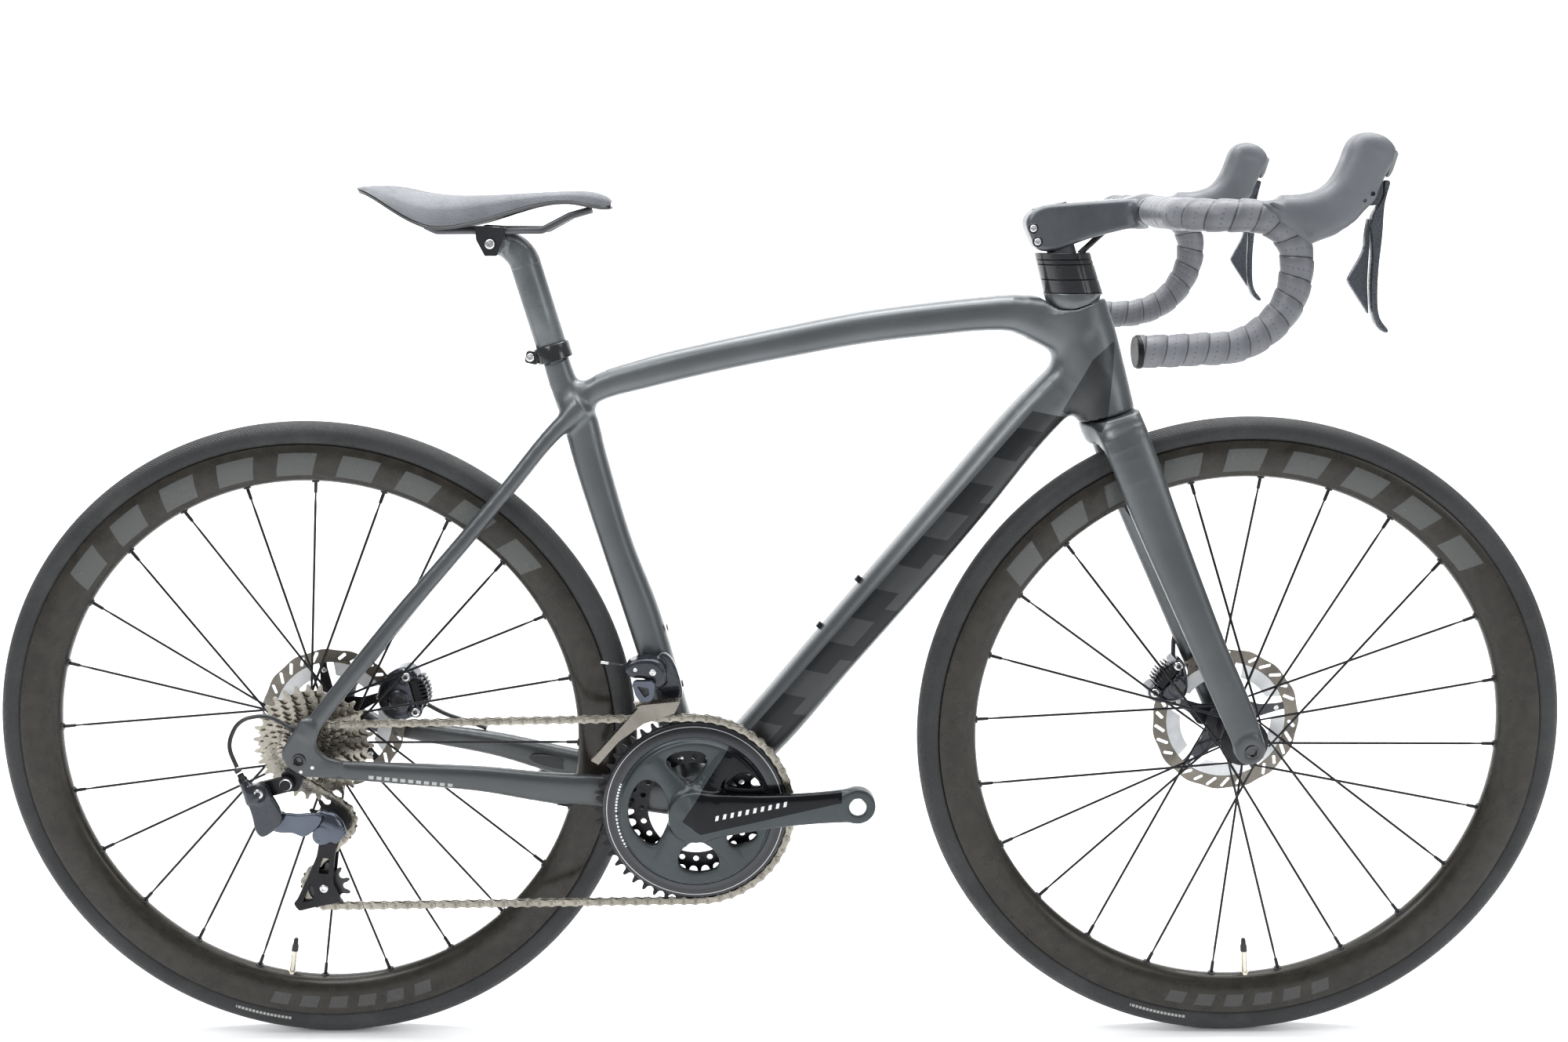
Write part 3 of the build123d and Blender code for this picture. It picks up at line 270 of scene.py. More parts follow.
def rim_carbon(name, centre):
    """Clear-coated carbon with a ring of grey tonal bars."""
    p = Paint(name, (0.022, 0.019, 0.016), 0.26, 0.1, 0.12, 0.12, spec=0.3)
    radius, angle = p.polar(centre)
    fibre = p.noise(70.0, 5.0, stretch=(1.0, 6.0, 1.0))
    tow = p.sine(p.times(p.plus(p.times(angle, 4.4), radius), 5.2))
    base = p.mix(p.ramp(fibre, 0.3, 0.7), (0.0095, 0.0078, 0.0058), (0.024, 0.0205, 0.0155))
    base = p.mix(p.ramp(tow, -1.0, 1.0, 0.0, 0.18), base, (0.05, 0.045, 0.036))
    lean = p.scaled(p.minus(radius, 296.0), 0.055, angle)
    grey = (0.075, 0.078, 0.076)
    cell = p.fract(p.over(lean, 12.4))
    shape = p.within(cell, 0.06, 0.66)
    zone = p.both(p.within(lean, 37.2, 148.8), p.within(radius, 284.5, 308.5))
    base = p.mix(p.both(shape, zone), base, grey)
    small = p.both(p.within(lean, -104.0, -68.0), p.within(radius, 296.0, 309.0),
                   p.dashes(lean, 6.0, 0.6))
    base = p.mix(small, base, (0.05, 0.05, 0.048))
    gloss = p.ramp(p.noise(35.0, 4.0), 0.3, 0.7, 0.2, 0.34)
    return p.done(base, gloss, fibre, 0.03)


def tyre_rubber(name, centre):
    """Dark rubber: smooth tread, finely ribbed shoulder, label dash near the bottom, painted shade where it
    meets the rim.
    """
    p = Paint(name, (0.021, 0.0215, 0.0225), 0.62, spec=0.42)
    radius, angle = p.polar(centre)
    _, y, _ = p.axes()
    width = p.times(p.size(y), 1000.0)
    tint, _ = p.grain(40.0, 0.22)
    shoulder = p.both(p.within(width, 6.5, 12.4), p.above(radius, 327.0))
    ribs = p.sine(p.times(p.scaled(width, 1.1, p.times(angle, 4.2)), 2.6))
    height = p.plus(p.times(p.both(ribs, shoulder), 0.6), p.times(p.noise(900.0), 0.35))
    tint = p.mix(p.times(shoulder, 0.45), tint, (0.035, 0.036, 0.038))
    dash = p.both(p.within(radius, 322.5, 325.2), p.within(angle, -109.0, -98.0),
                  p.below(p.fract(p.times(angle, 1.4)), 0.7))
    tint = p.mix(p.times(dash, 0.7), tint, (0.5, 0.5, 0.48))
    # painted shade: a dark band on the sidewall where the tyre meets the rim's edge
    rim_line_shade = p.within(radius, 316.8, 319.0)
    tint = p.mix(p.times(rim_line_shade, 0.8), tint, (0.01, 0.01, 0.01))
    dust = p.ramp(p.noise(26.0, 5.0), 0.52, 0.75, 0.0, 0.12)
    tint = p.mix(dust, tint, (0.12, 0.12, 0.115))
    gloss = p.ramp(p.noise(300.0), 0.3, 0.7, 0.52, 0.7)
    return p.done(tint, gloss, height, 0.35)


def crank_finish():
    """Satin grey-green arm with a gloss black wedge along its top edge and a small light mark."""
    p = Paint("crank_finish", (0.047, 0.055, 0.058), 0.34, 0.55, 0.1, 0.16, spec=0.3)
    x, z = p.along(BB[0], BB[1], 0.0)
    tint, gloss = p.grain(50.0, 0.12, 0.05)
    under = p.above(z, p.scaled(x, 0.236, -18.6))
    rear = p.above(x, p.scaled(z, 0.65, -10.0))
    low_rear = p.above(z, p.scaled(x, -0.737, -11.8))
    front = p.both(under, rear, low_rear, p.below(x, 153.0))
    tint = p.mix(front, tint, (0.005, 0.0055, 0.007))
    gloss = p.ramp(front, 0.0, 1.0, 0.34, 0.09)
    run, rise = p.along(BB[0] + 22.0, BB[1] - 2.4, 0.2055)
    lean = p.scaled(rise, -0.4, run)
    side = p.below(p.axes()[1], -0.058)
    bars = p.dashes(lean, 8.0, 0.42)
    mark = p.both(p.within(lean, 0.0, 80.0), p.within(rise, 0.6, 5.8), bars, side)
    tint = p.mix(mark, tint, (0.60, 0.61, 0.62))
    return p.done(tint, gloss, p.noise(800.0), 0.04)


def ring_finish():
    """Glossy blue-black chainring face with a thin machined line and small print dashes."""
    p = Paint("ring_finish", (0.020, 0.023, 0.029), 0.22, 0.6, 0.6, 0.08)
    radius, angle = p.polar(BB)
    tint, gloss = p.grain(60.0, 0.15, 0.05)
    tint = p.mix(p.above(radius, 86.0), tint, (0.011, 0.011, 0.013))
    tint = p.mix(p.within(radius, 91.9, 92.7), tint, (0.42, 0.43, 0.45))
    upper = p.both(p.within(radius, 80.6, 83.4), p.within(angle, 158.0, 182.0),
                   p.below(p.fract(p.times(angle, 0.42)), 0.66))
    lower = p.both(p.within(radius, 80.8, 83.2), p.within(angle, -178.0, -152.0),
                   p.below(p.fract(p.times(angle, 0.36)), 0.6))
    tint = p.mix(p.larger(upper, lower), tint, (0.6, 0.61, 0.62))
    return p.done(tint, gloss, p.noise(700.0), 0.03)


def tape_finish():
    """Perforated wrap: small holes, a darker overlap line of painted shade and a painted highlight across
    each wrap, from the mesh's own wrap coordinates.
    """
    p = Paint("tape_finish", (0.112, 0.116, 0.129), 0.4, spec=0.5)
    uv = p.node("ShaderNodeUVMap", uv_map="wrap").outputs[0]
    u, v, _ = p.axes(uv)
    lap = p.fract(u)
    tint, _ = p.grain(55.0, 0.16)
    holes_u = p.minus(lap, 0.62)
    holes_v = p.minus(p.fract(p.times(v, 20.0)), 0.5)
    spot = p.root(p.plus(p.times(p.times(holes_u, holes_u), 420.0),
                                 p.times(p.times(holes_v, holes_v), 34.0)))
    holes = p.below(spot, 0.95)
    # painted shade: a dark line in the crease where each wrap steps over the edge of the one before
    lap_crease_shade = p.larger(p.below(lap, 0.06), p.above(lap, 0.975))
    tint = p.mix(p.times(holes, 0.9), tint, (0.006, 0.006, 0.006))
    tint = p.mix(p.times(lap_crease_shade, 0.8), tint, (0.008, 0.008, 0.009))
    # painted highlight: each wrap lighter from its middle down its falling side
    wear_and_highlight = p.ramp(lap, 0.2, 0.5, 0.0, 0.4)
    tint = p.mix(wear_and_highlight, tint, (0.19, 0.196, 0.214))
    height = p.minus(p.times(p.noise(1100.0), 0.3), p.times(holes, 1.0))
    gloss = p.ramp(p.noise(120.0), 0.3, 0.7, 0.3, 0.46)
    return p.done(tint, gloss, height, 0.5)


def saddle_finish():
    """Pebbled dark cover with fine perforations and faint lighter flecks."""
    p = Paint("saddle_finish", (0.112, 0.119, 0.132), 0.52, spec=0.5)
    tint, _ = p.grain(60.0, 0.2)
    pebble = p.cells(900.0)
    middle = p.below(p.size(p.axes()[1]), 0.058)
    dots = p.below(p.cells(420.0), 0.17)
    tint = p.mix(p.times(p.both(dots, middle), 0.75), tint, (0.006, 0.006, 0.007))
    gloss = p.ramp(p.noise(200.0), 0.3, 0.7, 0.4, 0.58)
    return p.done(tint, gloss, pebble, 0.35)


def hood_rubber():
    """Dark rubber with a woven pattern on its sides and paler worn patches."""
    p = Paint("hood_rubber", (0.099, 0.105, 0.117), 0.45, spec=0.5)
    tint, _ = p.grain(45.0, 0.18)
    x, y, z = p.axes()
    weave = p.times(p.sine(p.times(p.plus(x, z), 2600.0)),
                   p.sine(p.times(p.minus(x, z), 2600.0)))
    side = p.above(p.size(p.minus(p.size(y), 0.19)), 0.013)
    height = p.plus(p.times(p.both(weave, side), 0.3), p.noise(700.0))
    # worn patches: paler rubber scattered by noise
    wear_and_highlight = p.ramp(p.noise(18.0, 4.0), 0.5, 0.72, 0.0, 0.35)
    tint = p.mix(wear_and_highlight, tint, (0.115, 0.12, 0.13))
    gloss = p.ramp(p.noise(60.0), 0.35, 0.65, 0.33, 0.5)
    return p.done(tint, gloss, height, 0.25)


def brushed(name, color, rough, metal=0.95, coat=0.0):
    """Metal with fine marks drawn out along one direction."""
    p = Paint(name, color, rough, metal, coat)
    tint, gloss = p.grain(80.0, 0.18, min(0.09, rough * 0.4))
    return p.done(tint, gloss, p.noise(500.0, 4.0, (1.0, 1.0, 14.0)), 0.08)


M = {
    "frame": frame_paint(),
    "rim_front": rim_carbon("rim_carbon_front", FRONT),
    "rim_rear": rim_carbon("rim_carbon_rear", REAR),
    "tyre_front": tyre_rubber("tyre_rubber_front", FRONT),
    "tyre_rear": tyre_rubber("tyre_rubber_rear", REAR),
    "crank": crank_finish(),
    "ring": ring_finish(),
    "tape": tape_finish(),
    "saddle": saddle_finish(),
    "hood": hood_rubber(),
    "black_gloss": plain("black_gloss", (0.009, 0.009, 0.011), 0.17, 0.0, 0.6),
    "black_satin": plain("black_satin", (0.016, 0.016, 0.018), 0.42),
    "stem": plain("stem_satin", (0.068, 0.073, 0.082), 0.36, 0.35, 0.2),
    "post": plain("post_satin", (0.116, 0.126, 0.132), 0.36, 0.55, 0.25),
    "plate": plain("cap_plate", (0.10, 0.105, 0.112), 0.36, 0.5, 0.2),
    "rail": plain("rail_carbon", (0.052, 0.055, 0.061), 0.35, 0.2, 0.4),
    "anodised": plain("black_anodised", (0.014, 0.014, 0.016), 0.34, 0.7),
    "lever": plain("lever_satin", (0.078, 0.086, 0.099), 0.3, 0.6, 0.2, depth=0.04, spread=0.1),
    "mech": plain("mech_satin", (0.026, 0.029, 0.037), 0.22, 0.6, 0.4, depth=0.03, spread=0.08),
    "caliper": brushed("caliper_metal", (0.035, 0.039, 0.050), 0.13, 0.9, 0.5),
    "blue_grey": brushed("blue_grey_metal", (0.068, 0.079, 0.105), 0.11, 0.9, 0.5),
    "nickel": brushed("nickel_steel", (0.36, 0.335, 0.29), 0.30),
    "chain": brushed("chain_steel", (0.265, 0.247, 0.212), 0.3),
    "cage": brushed("cage_steel", (0.21, 0.195, 0.17), 0.22),
    "steel": brushed("bolt_steel", (0.60, 0.60, 0.60), 0.2),
    "chrome": brushed("chrome_plate", (0.72, 0.72, 0.71), 0.1, 1.0),
    "rotor": brushed("rotor_steel", (0.175, 0.16, 0.138), 0.34),
    "fins": brushed("fin_alloy", (0.62, 0.63, 0.64), 0.42, 0.6),
    "spoke": plain("spoke_black", (0.012, 0.012, 0.014), 0.33, 0.6),
    "valve": brushed("valve_brass", (0.62, 0.58, 0.50), 0.24),
    "pad": plain("pad_compound", (0.03, 0.03, 0.03), 0.7),
    "hose": plain("hose_black", (0.010, 0.010, 0.012), 0.36, 0.0, 0.2),
}


# ---------------------------------------------------------------- mesh helpers
def add(name, part, body, finish, covers="", angle=38.0):
    """A mesh object from millimetre coordinates that rides on a body and stands in for CAD nodes."""
    verts, faces = part
    mesh = bpy.data.meshes.new(name)
    mesh.from_pydata((np.asarray(verts, float) * 0.001).tolist(), [], [list(map(int, f)) for f in faces])
    mesh.update()
    mesh.shade_smooth()
    mesh.set_sharp_from_angle(angle=math.radians(angle))
    mesh.materials.append(M[finish])
    made = bpy.data.objects.new(name, mesh)
    scene.collection.objects.link(made)
    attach(made, body)
    if covers:
        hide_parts(*covers.split())
    return made


def spline(points, count):
    """Catmull-Rom samples through rows of numbers (places and sizes alike)."""
    pts = np.asarray(points, float)
    steps = np.linalg.norm(np.diff(pts[:, :3], axis=0), axis=1)
    knots = np.concatenate([[0], np.cumsum(steps)])
    slopes = np.gradient(pts, knots, axis=0)
    out = []
    for value in np.linspace(0, knots[-1], count):
        i = min(max(np.searchsorted(knots, value) - 1, 0), len(pts) - 2)
        h = knots[i + 1] - knots[i]
        t = (value - knots[i]) / h
        a, b = 2 * t**3 - 3 * t**2 + 1, t**3 - 2 * t**2 + t
        c, d = -2 * t**3 + 3 * t**2, t**3 - t**2
        out.append(a * pts[i] + b * h * slopes[i] + c * pts[i + 1] + d * h * slopes[i + 1])
    return np.array(out)


def outward(verts, faces):
    """The same faces, turned over if the closed surface came out inside out."""
    v = np.asarray(verts, float)
    v = v - v.mean(axis=0)
    total = 0.0
    for size in {len(f) for f in faces}:
        same = np.array([f for f in faces if len(f) == size])
        for k in range(1, size - 1):
            total += np.einsum("ij,ij->i", v[same[:, 0]], np.cross(v[same[:, k]], v[same[:, k + 1]])).sum()
    return verts, faces if total > 0 else [tuple(f)[::-1] for f in faces]


def rings(loops, closed=False):
    """Faces that join a list of equal loops, end caps included."""
    loops = np.asarray(loops, float)
    n, m = loops.shape[:2]
    faces = []
    for i in range(n if closed else n - 1):
        a, b = i * m, ((i + 1) % n) * m
        for j in range(m):
            k = (j + 1) % m
            faces.append((a + j, a + k, b + k, b + j))
    if not closed:
        faces.append(tuple(range(m))[::-1])
        faces.append(tuple((n - 1) * m + j for j in range(m)))
    return outward(loops.reshape(-1, 3), faces)


def pipe(points, radii, sides=24):
    """Loops along a path; radii is a number or one (in-plane, sideways) pair per point."""
    pts = np.asarray(points, float)
    run = np.gradient(pts, axis=0)
    run /= np.linalg.norm(run, axis=1)[:, None]
    side = SIDE
    loops = []
    for i, (p, t) in enumerate(zip(pts, run)):
        side = side - t * (side @ t)
        side /= np.linalg.norm(side)
        ru, rv = (radii, radii) if np.isscalar(radii) else radii[i]
        loops.append(ellipse(p, np.cross(t, side), side, ru, rv, sides))
    return loops


def ellipse(centre, first, second, reach_first, reach_second, count):
    """Loop of points round a centre, spanned by two directions."""
    turn = np.linspace(0, 2 * np.pi, count, endpoint=False)
    return (centre + np.outer(np.cos(turn) * reach_first, first)
            + np.outer(np.sin(turn) * reach_second, second))


def lathe(profile, centre, steps=96):
    """Loops of a (radius, y) outline turned about an axle."""
    profile = np.asarray(profile, float)
    turn = np.linspace(0, 2 * np.pi, steps, endpoint=False)
    loops = [np.column_stack([centre[0] + profile[:, 0] * math.cos(a), profile[:, 1],
                              centre[1] + profile[:, 0] * math.sin(a)]) for a in turn]
    return rings(loops, closed=True)


def smooth_outline(points, per):
    """Points on a smooth closed curve through a coarse outline."""
    pts = np.asarray(points, float)
    out = []
    for i in range(len(pts)):
        p0, p1, p2, p3 = (pts[(i + k) % len(pts)] for k in (-1, 0, 1, 2))
        for t in np.linspace(0, 1, per, endpoint=False):
            out.append(0.5 * (2 * p1 + (p2 - p0) * t + (2 * p0 - 5 * p1 + 4 * p2 - p3) * t**2
                              + (3 * p1 - p0 - 3 * p2 + p3) * t**3))
    return np.array(out)


def rounded(points, radius, steps=5):
    """A polygon with each corner replaced by an arc-like curve."""
    pts = np.asarray(points, float)
    out = []
    for i, here in enumerate(pts):
        before, after = pts[i - 1] - here, pts[(i + 1) % len(pts)] - here
        lb, la = np.linalg.norm(before), np.linalg.norm(after)
        reach = min(radius, lb * 0.45, la * 0.45)
        a, b = here + before / lb * reach, here + after / la * reach
        for t in np.linspace(0, 1, steps):
            out.append((1 - t)**2 * a + 2 * t * (1 - t) * here + t**2 * b)
    return np.array(out)


def turned(points, middle, degrees):
    """Points turned about the origin and then carried to a middle."""
    c, s = math.cos(math.radians(degrees)), math.sin(math.radians(degrees))
    return [(middle[0] + a * c - b * s, middle[1] + a * s + b * c) for a, b in points]


def circle(centre, radius, steps=40):
    """Outline of evenly spaced points on a circle."""
    turn = np.linspace(0, 2 * np.pi, steps, endpoint=False)
    return np.column_stack([centre[0] + radius * np.cos(turn), centre[1] + radius * np.sin(turn)])


def plate(outlines, low, high, bevel=0.4):
    """A flat part with holes: (x, z) outlines, the outer one first, pushed along y with soft edges."""
    curve = bpy.data.curves.new("outline", "CURVE")
    curve.dimensions = "2D"
    curve.fill_mode = "BOTH"
    curve.extrude = (high - low) / 2 - bevel
    curve.bevel_depth = bevel
    curve.bevel_resolution = 1
    curve.offset = -bevel
    for outline in outlines:
        line = curve.splines.new("POLY")
        line.points.add(len(outline) - 1)
        line.points.foreach_set("co", np.column_stack([outline, np.zeros(len(outline)),
                                                       np.ones(len(outline))]).ravel())
        line.use_cyclic_u = True
    holder = bpy.data.objects.new("outline", curve)
    scene.collection.objects.link(holder)
    mesh = holder.to_mesh()
    verts = np.zeros(len(mesh.vertices) * 3)
    mesh.vertices.foreach_get("co", verts)
    verts = verts.reshape(-1, 3)
    faces = [tuple(face.vertices) for face in mesh.polygons]
    holder.to_mesh_clear()
    bpy.data.objects.remove(holder)
    bpy.data.curves.remove(curve)
    return outward(np.column_stack([verts[:, 0], (low + high) / 2 - verts[:, 2], verts[:, 1]]), faces)


def joined(*parts):
    """Several parts as one."""
    verts, faces, base = [], [], 0
    for v, f in parts:
        verts.append(np.asarray(v, float))
        faces += [tuple(i + base for i in face) for face in f]
        base += len(v)
    return np.vstack(verts), faces


def mirrored(part):
    """The same part on the other side of the bicycle."""
    verts, faces = part
    return np.asarray(verts) * [1, -1, 1], [tuple(f)[::-1] for f in faces]


# For each side, its name and what turns a part made for the right side into that side's part.
HANDS = {-1: ("right", lambda part: part), 1: ("left", mirrored)}


def bolt_head(centre, radius, y_face, y_root, hexagon=0.5):
    """A domed button head facing away from y_root, with a socket."""
    out = 1 if y_face > y_root else -1
    h = abs(y_face - y_root)
    cut = radius * hexagon
    profile = [(0.01, y_root), (radius, y_root), (radius, y_face - out * h * 0.35),
               (radius * 0.86, y_face - out * h * 0.08), (radius * 0.7, y_face), (cut, y_face),
               (cut * 0.92, y_face - out * h * 0.6), (0.01, y_face - out * h * 0.66)]
    return lathe(profile, centre, 24)


class Field:
    """A block of signed distances that solids are blended into and skinned from."""

    def __init__(self, low, high, step):
        self.low, self.step = np.asarray(low, float), float(step)
        self.count = np.ceil((np.asarray(high, float) - self.low) / step).astype(int) + 1
        self.value = np.full(self.count, 60.0, np.float32)

    def block(self, low, high):
        a = np.clip(np.floor((np.asarray(low) - self.low) / self.step).astype(int), 0, self.count)
        b = np.clip(np.ceil((np.asarray(high) - self.low) / self.step).astype(int) + 1, 0, self.count)
        axes = [self.low[i] + self.step * np.arange(a[i], b[i]) for i in range(3)]
        return tuple(slice(a[i], b[i]) for i in range(3)), np.meshgrid(*axes, indexing="ij", sparse=True)

    def merge(self, where, distance, blend):
        old = self.value[where]
        if blend:
            h = np.clip(0.5 + 0.5 * (old - distance) / blend, 0, 1)
            self.value[where] = old + (distance - old) * h - blend * h * (1 - h)
        else:
            self.value[where] = np.minimum(old, distance)

    def carve(self, where, distance, blend=0.0):
        old, cut = self.value[where], -distance
        if blend:
            h = np.clip(0.5 - 0.5 * (old - cut) / blend, 0, 1)
            self.value[where] = old + (cut - old) * h + blend * h * (1 - h)
        else:
            self.value[where] = np.maximum(old, cut)

    def tube_distance(self, rows, power, margin, count):
        """Distance to a tube of elliptic or boxy section; rows are (x, y, z, depth, width)."""
        rows = np.asarray(rows, float)
        if count:
            rows = spline(rows, count)
        reach = rows[:, 3:].max() + margin
        where, _ = self.block(rows[:, :3].min(0) - reach, rows[:, :3].max(0) + reach)
        origin = np.array([s.start for s in where])
        local = np.full([s.stop - s.start for s in where], 60.0, np.float32)
        for i in range(len(rows) - 1):
            a, b = rows[i], rows[i + 1]
            reach = max(a[3:].max(), b[3:].max()) + margin
            part, (x, y, z) = self.block(np.minimum(a[:3], b[:3]) - reach, np.maximum(a[:3], b[:3]) + reach)
            run = b[:3] - a[:3]
            length = np.linalg.norm(run)
            run = run / length
            side = np.array([0, 1.0, 0]) - run * run[1]
            if np.linalg.norm(side) < 0.2:
                side = np.array([1.0, 0, 0])
            side /= np.linalg.norm(side)
            deep = np.cross(run, side)
            dx, dy, dz = x - a[0], y - a[1], z - a[2]
            t = (dx * run[0] + dy * run[1] + dz * run[2]) / length
            first, last = (0.0 if i == 0 else -0.35), (1.0 if i == len(rows) - 2 else 1.35)
            over = np.maximum(np.maximum(first - t, t - last), 0) * length
            tc = np.clip(t, 0, 1)
            u = np.abs(dx * deep[0] + dy * deep[1] + dz * deep[2]) / (a[3] + (b[3] - a[3]) * tc)
            v = np.abs(dx * side[0] + dy * side[1] + dz * side[2]) / (a[4] + (b[4] - a[4]) * tc)
            s = (u**power + v**power)**(1 / power) + 1e-6
            slope = np.sqrt((u**(power - 1) / a[3])**2 + (v**(power - 1) / a[4])**2) * s**(1 - power) + 1e-6
            d = (s - 1) / slope
            d = np.maximum(d, -max(a[3], a[4]))
            d = np.where(over > 0, np.hypot(np.maximum(d, 0), over), d)
            inner = tuple(slice(p.start - o, p.stop - o) for p, o in zip(part, origin))
            local[inner] = np.minimum(local[inner], d.astype(np.float32))
        return where, local

    def tube(self, rows, blend=8.0, power=2.0, count=24):
        self.merge(*self.tube_distance(rows, power, blend + 3 * self.step, count), blend)

    def cut_tube(self, rows, blend=0.0, power=2.0, count=0):
        self.carve(*self.tube_distance(rows, power, blend + 3 * self.step, count), blend)

    def disc(self, centre, low, high, radius, blend=0.0, taper=None):
        """Adds a round bar along y, with another radius at its high end if it tapers."""
        ends = ((low, radius), (high, taper or radius))
        self.tube([(centre[0], y, centre[1], r, r) for y, r in ends], blend, 2.0, 0)

    def bore(self, centre, low, high, radius, blend=0.0):
        """Cuts a round hole along y."""
        self.cut_tube([(centre[0], y, centre[1], radius, radius) for y in (low, high)], blend)

    def slab_distance(self, outline, low, high, edge):
        """Distance to an (x, z) polygon pushed from y=low to y=high with rounded edges."""
        pts = np.asarray(outline, float)
        pad = 14.0
        where, (x, y, z) = self.block([pts[:, 0].min() - pad, low - pad, pts[:, 1].min() - pad],
                                      [pts[:, 0].max() + pad, high + pad, pts[:, 1].max() + pad])
        x2, z2 = np.broadcast_arrays(x[:, 0, :], z[:, 0, :])
        best, sign = np.full(x2.shape, 1e9), np.ones(x2.shape)
        for p, q in zip(pts, np.roll(pts, -1, axis=0)):
            ex, ez = q - p
            wx, wz = x2 - p[0], z2 - p[1]
            t = np.clip((wx * ex + wz * ez) / (ex * ex + ez * ez), 0, 1)
            best = np.minimum(best, (wx - ex * t)**2 + (wz - ez * t)**2)
            c1, c2, c3 = z2 >= p[1], z2 < q[1], ex * wz > ez * wx
            sign = np.where((c1 & c2 & c3) | (~c1 & ~c2 & ~c3), -sign, sign)
        flat = (np.sqrt(best) * sign + edge)[:, None, :]
        tall = np.abs(y - (low + high) / 2) - (high - low) / 2 + edge
        d = np.minimum(np.maximum(flat, tall), 0) + np.hypot(np.maximum(flat, 0), np.maximum(tall, 0)) - edge
        return where, d.astype(np.float32)

    def slab(self, outline, low, high, blend=3.0, edge=1.5):
        self.merge(*self.slab_distance(outline, low, high, edge), blend)

    def cut_slab(self, outline, low, high, blend=0.0, edge=0.5):
        self.carve(*self.slab_distance(outline, low, high, edge), blend)

    def cut_plane(self, point, normal, low, high):
        """Removes what lies beyond a plane, inside a box."""
        where, (x, y, z) = self.block(low, high)
        d = (x - point[0]) * normal[0] + (y - point[1]) * normal[1] + (z - point[2]) * normal[2]
        self.value[where] = np.maximum(self.value[where], d.astype(np.float32))

    def skin(self, relax=1):
        """Surface nets: one point in each cell that the surface crosses."""
        v = self.value
        inside = v < 0
        corner = [(i, j, k) for i in (0, 1) for j in (0, 1) for k in (0, 1)]
        n = np.array(v.shape) - 1
        total = np.zeros(n, np.int8)
        for i, j, k in corner:
            total += inside[i:i + n[0], j:j + n[1], k:k + n[2]]
        cells = np.argwhere((total > 0) & (total < 8))
        number = np.full(n, -1, np.int32)
        number[tuple(cells.T)] = np.arange(len(cells))
        spot = np.zeros((len(cells), 3))
        hits = np.zeros(len(cells))
        for c in corner:
            for axis in range(3):
                if c[axis]:
                    continue
                e = list(c)
                e[axis] = 1
                a = v[tuple((cells + c).T)]
                b = v[tuple((cells + e).T)]
                cross = (a < 0) != (b < 0)
                t = np.where(cross, a / np.where(cross, a - b, 1), 0)
                place = np.array(c, float) + np.outer(t, np.eye(3)[axis])
                spot += place * cross[:, None]
                hits += cross
        verts = cells + spot / hits[:, None]
        faces = []
        for axis in range(3):
            u, w = [d for d in range(3) if d != axis]
            here, there = [slice(None)] * 3, [slice(None)] * 3
            here[axis], there[axis] = slice(0, v.shape[axis] - 1), slice(1, v.shape[axis])
            edge = np.argwhere(inside[tuple(here)] != inside[tuple(there)])
            edge = edge[(edge[:, u] > 0) & (edge[:, w] > 0) & (edge[:, u] < n[u]) & (edge[:, w] < n[w])]
            quad = []
            for du, dw in ((0, 0), (1, 0), (1, 1), (0, 1)):
                cell = edge.copy()
                cell[:, u] -= du
                cell[:, w] -= dw
                quad.append(number[tuple(cell.T)])
            quad = np.column_stack(quad)
            start_in = inside[tuple(edge.T)]
            flip = start_in if axis == 1 else ~start_in
            quad[flip] = quad[flip][:, ::-1]
            faces.append(quad)
        faces = np.vstack(faces)
        for _ in range(relax):
            sums, counts = np.zeros_like(verts), np.zeros(len(verts))
            for k in range(4):
                a, b = faces[:, k], faces[:, (k + 1) % 4]
                np.add.at(sums, a, verts[b])
                np.add.at(sums, b, verts[a])
                np.add.at(counts, a, 1)
                np.add.at(counts, b, 1)
            verts = verts * 0.5 + 0.5 * sums / counts[:, None]
        return outward(self.low + verts * self.step, faces.tolist())


def both_sides(rows):
    """Rows of one side, and the same rows mirrored to the other."""
    rows = np.asarray(rows, float)
    return rows, rows * [1, -1, 1, 1, 1]


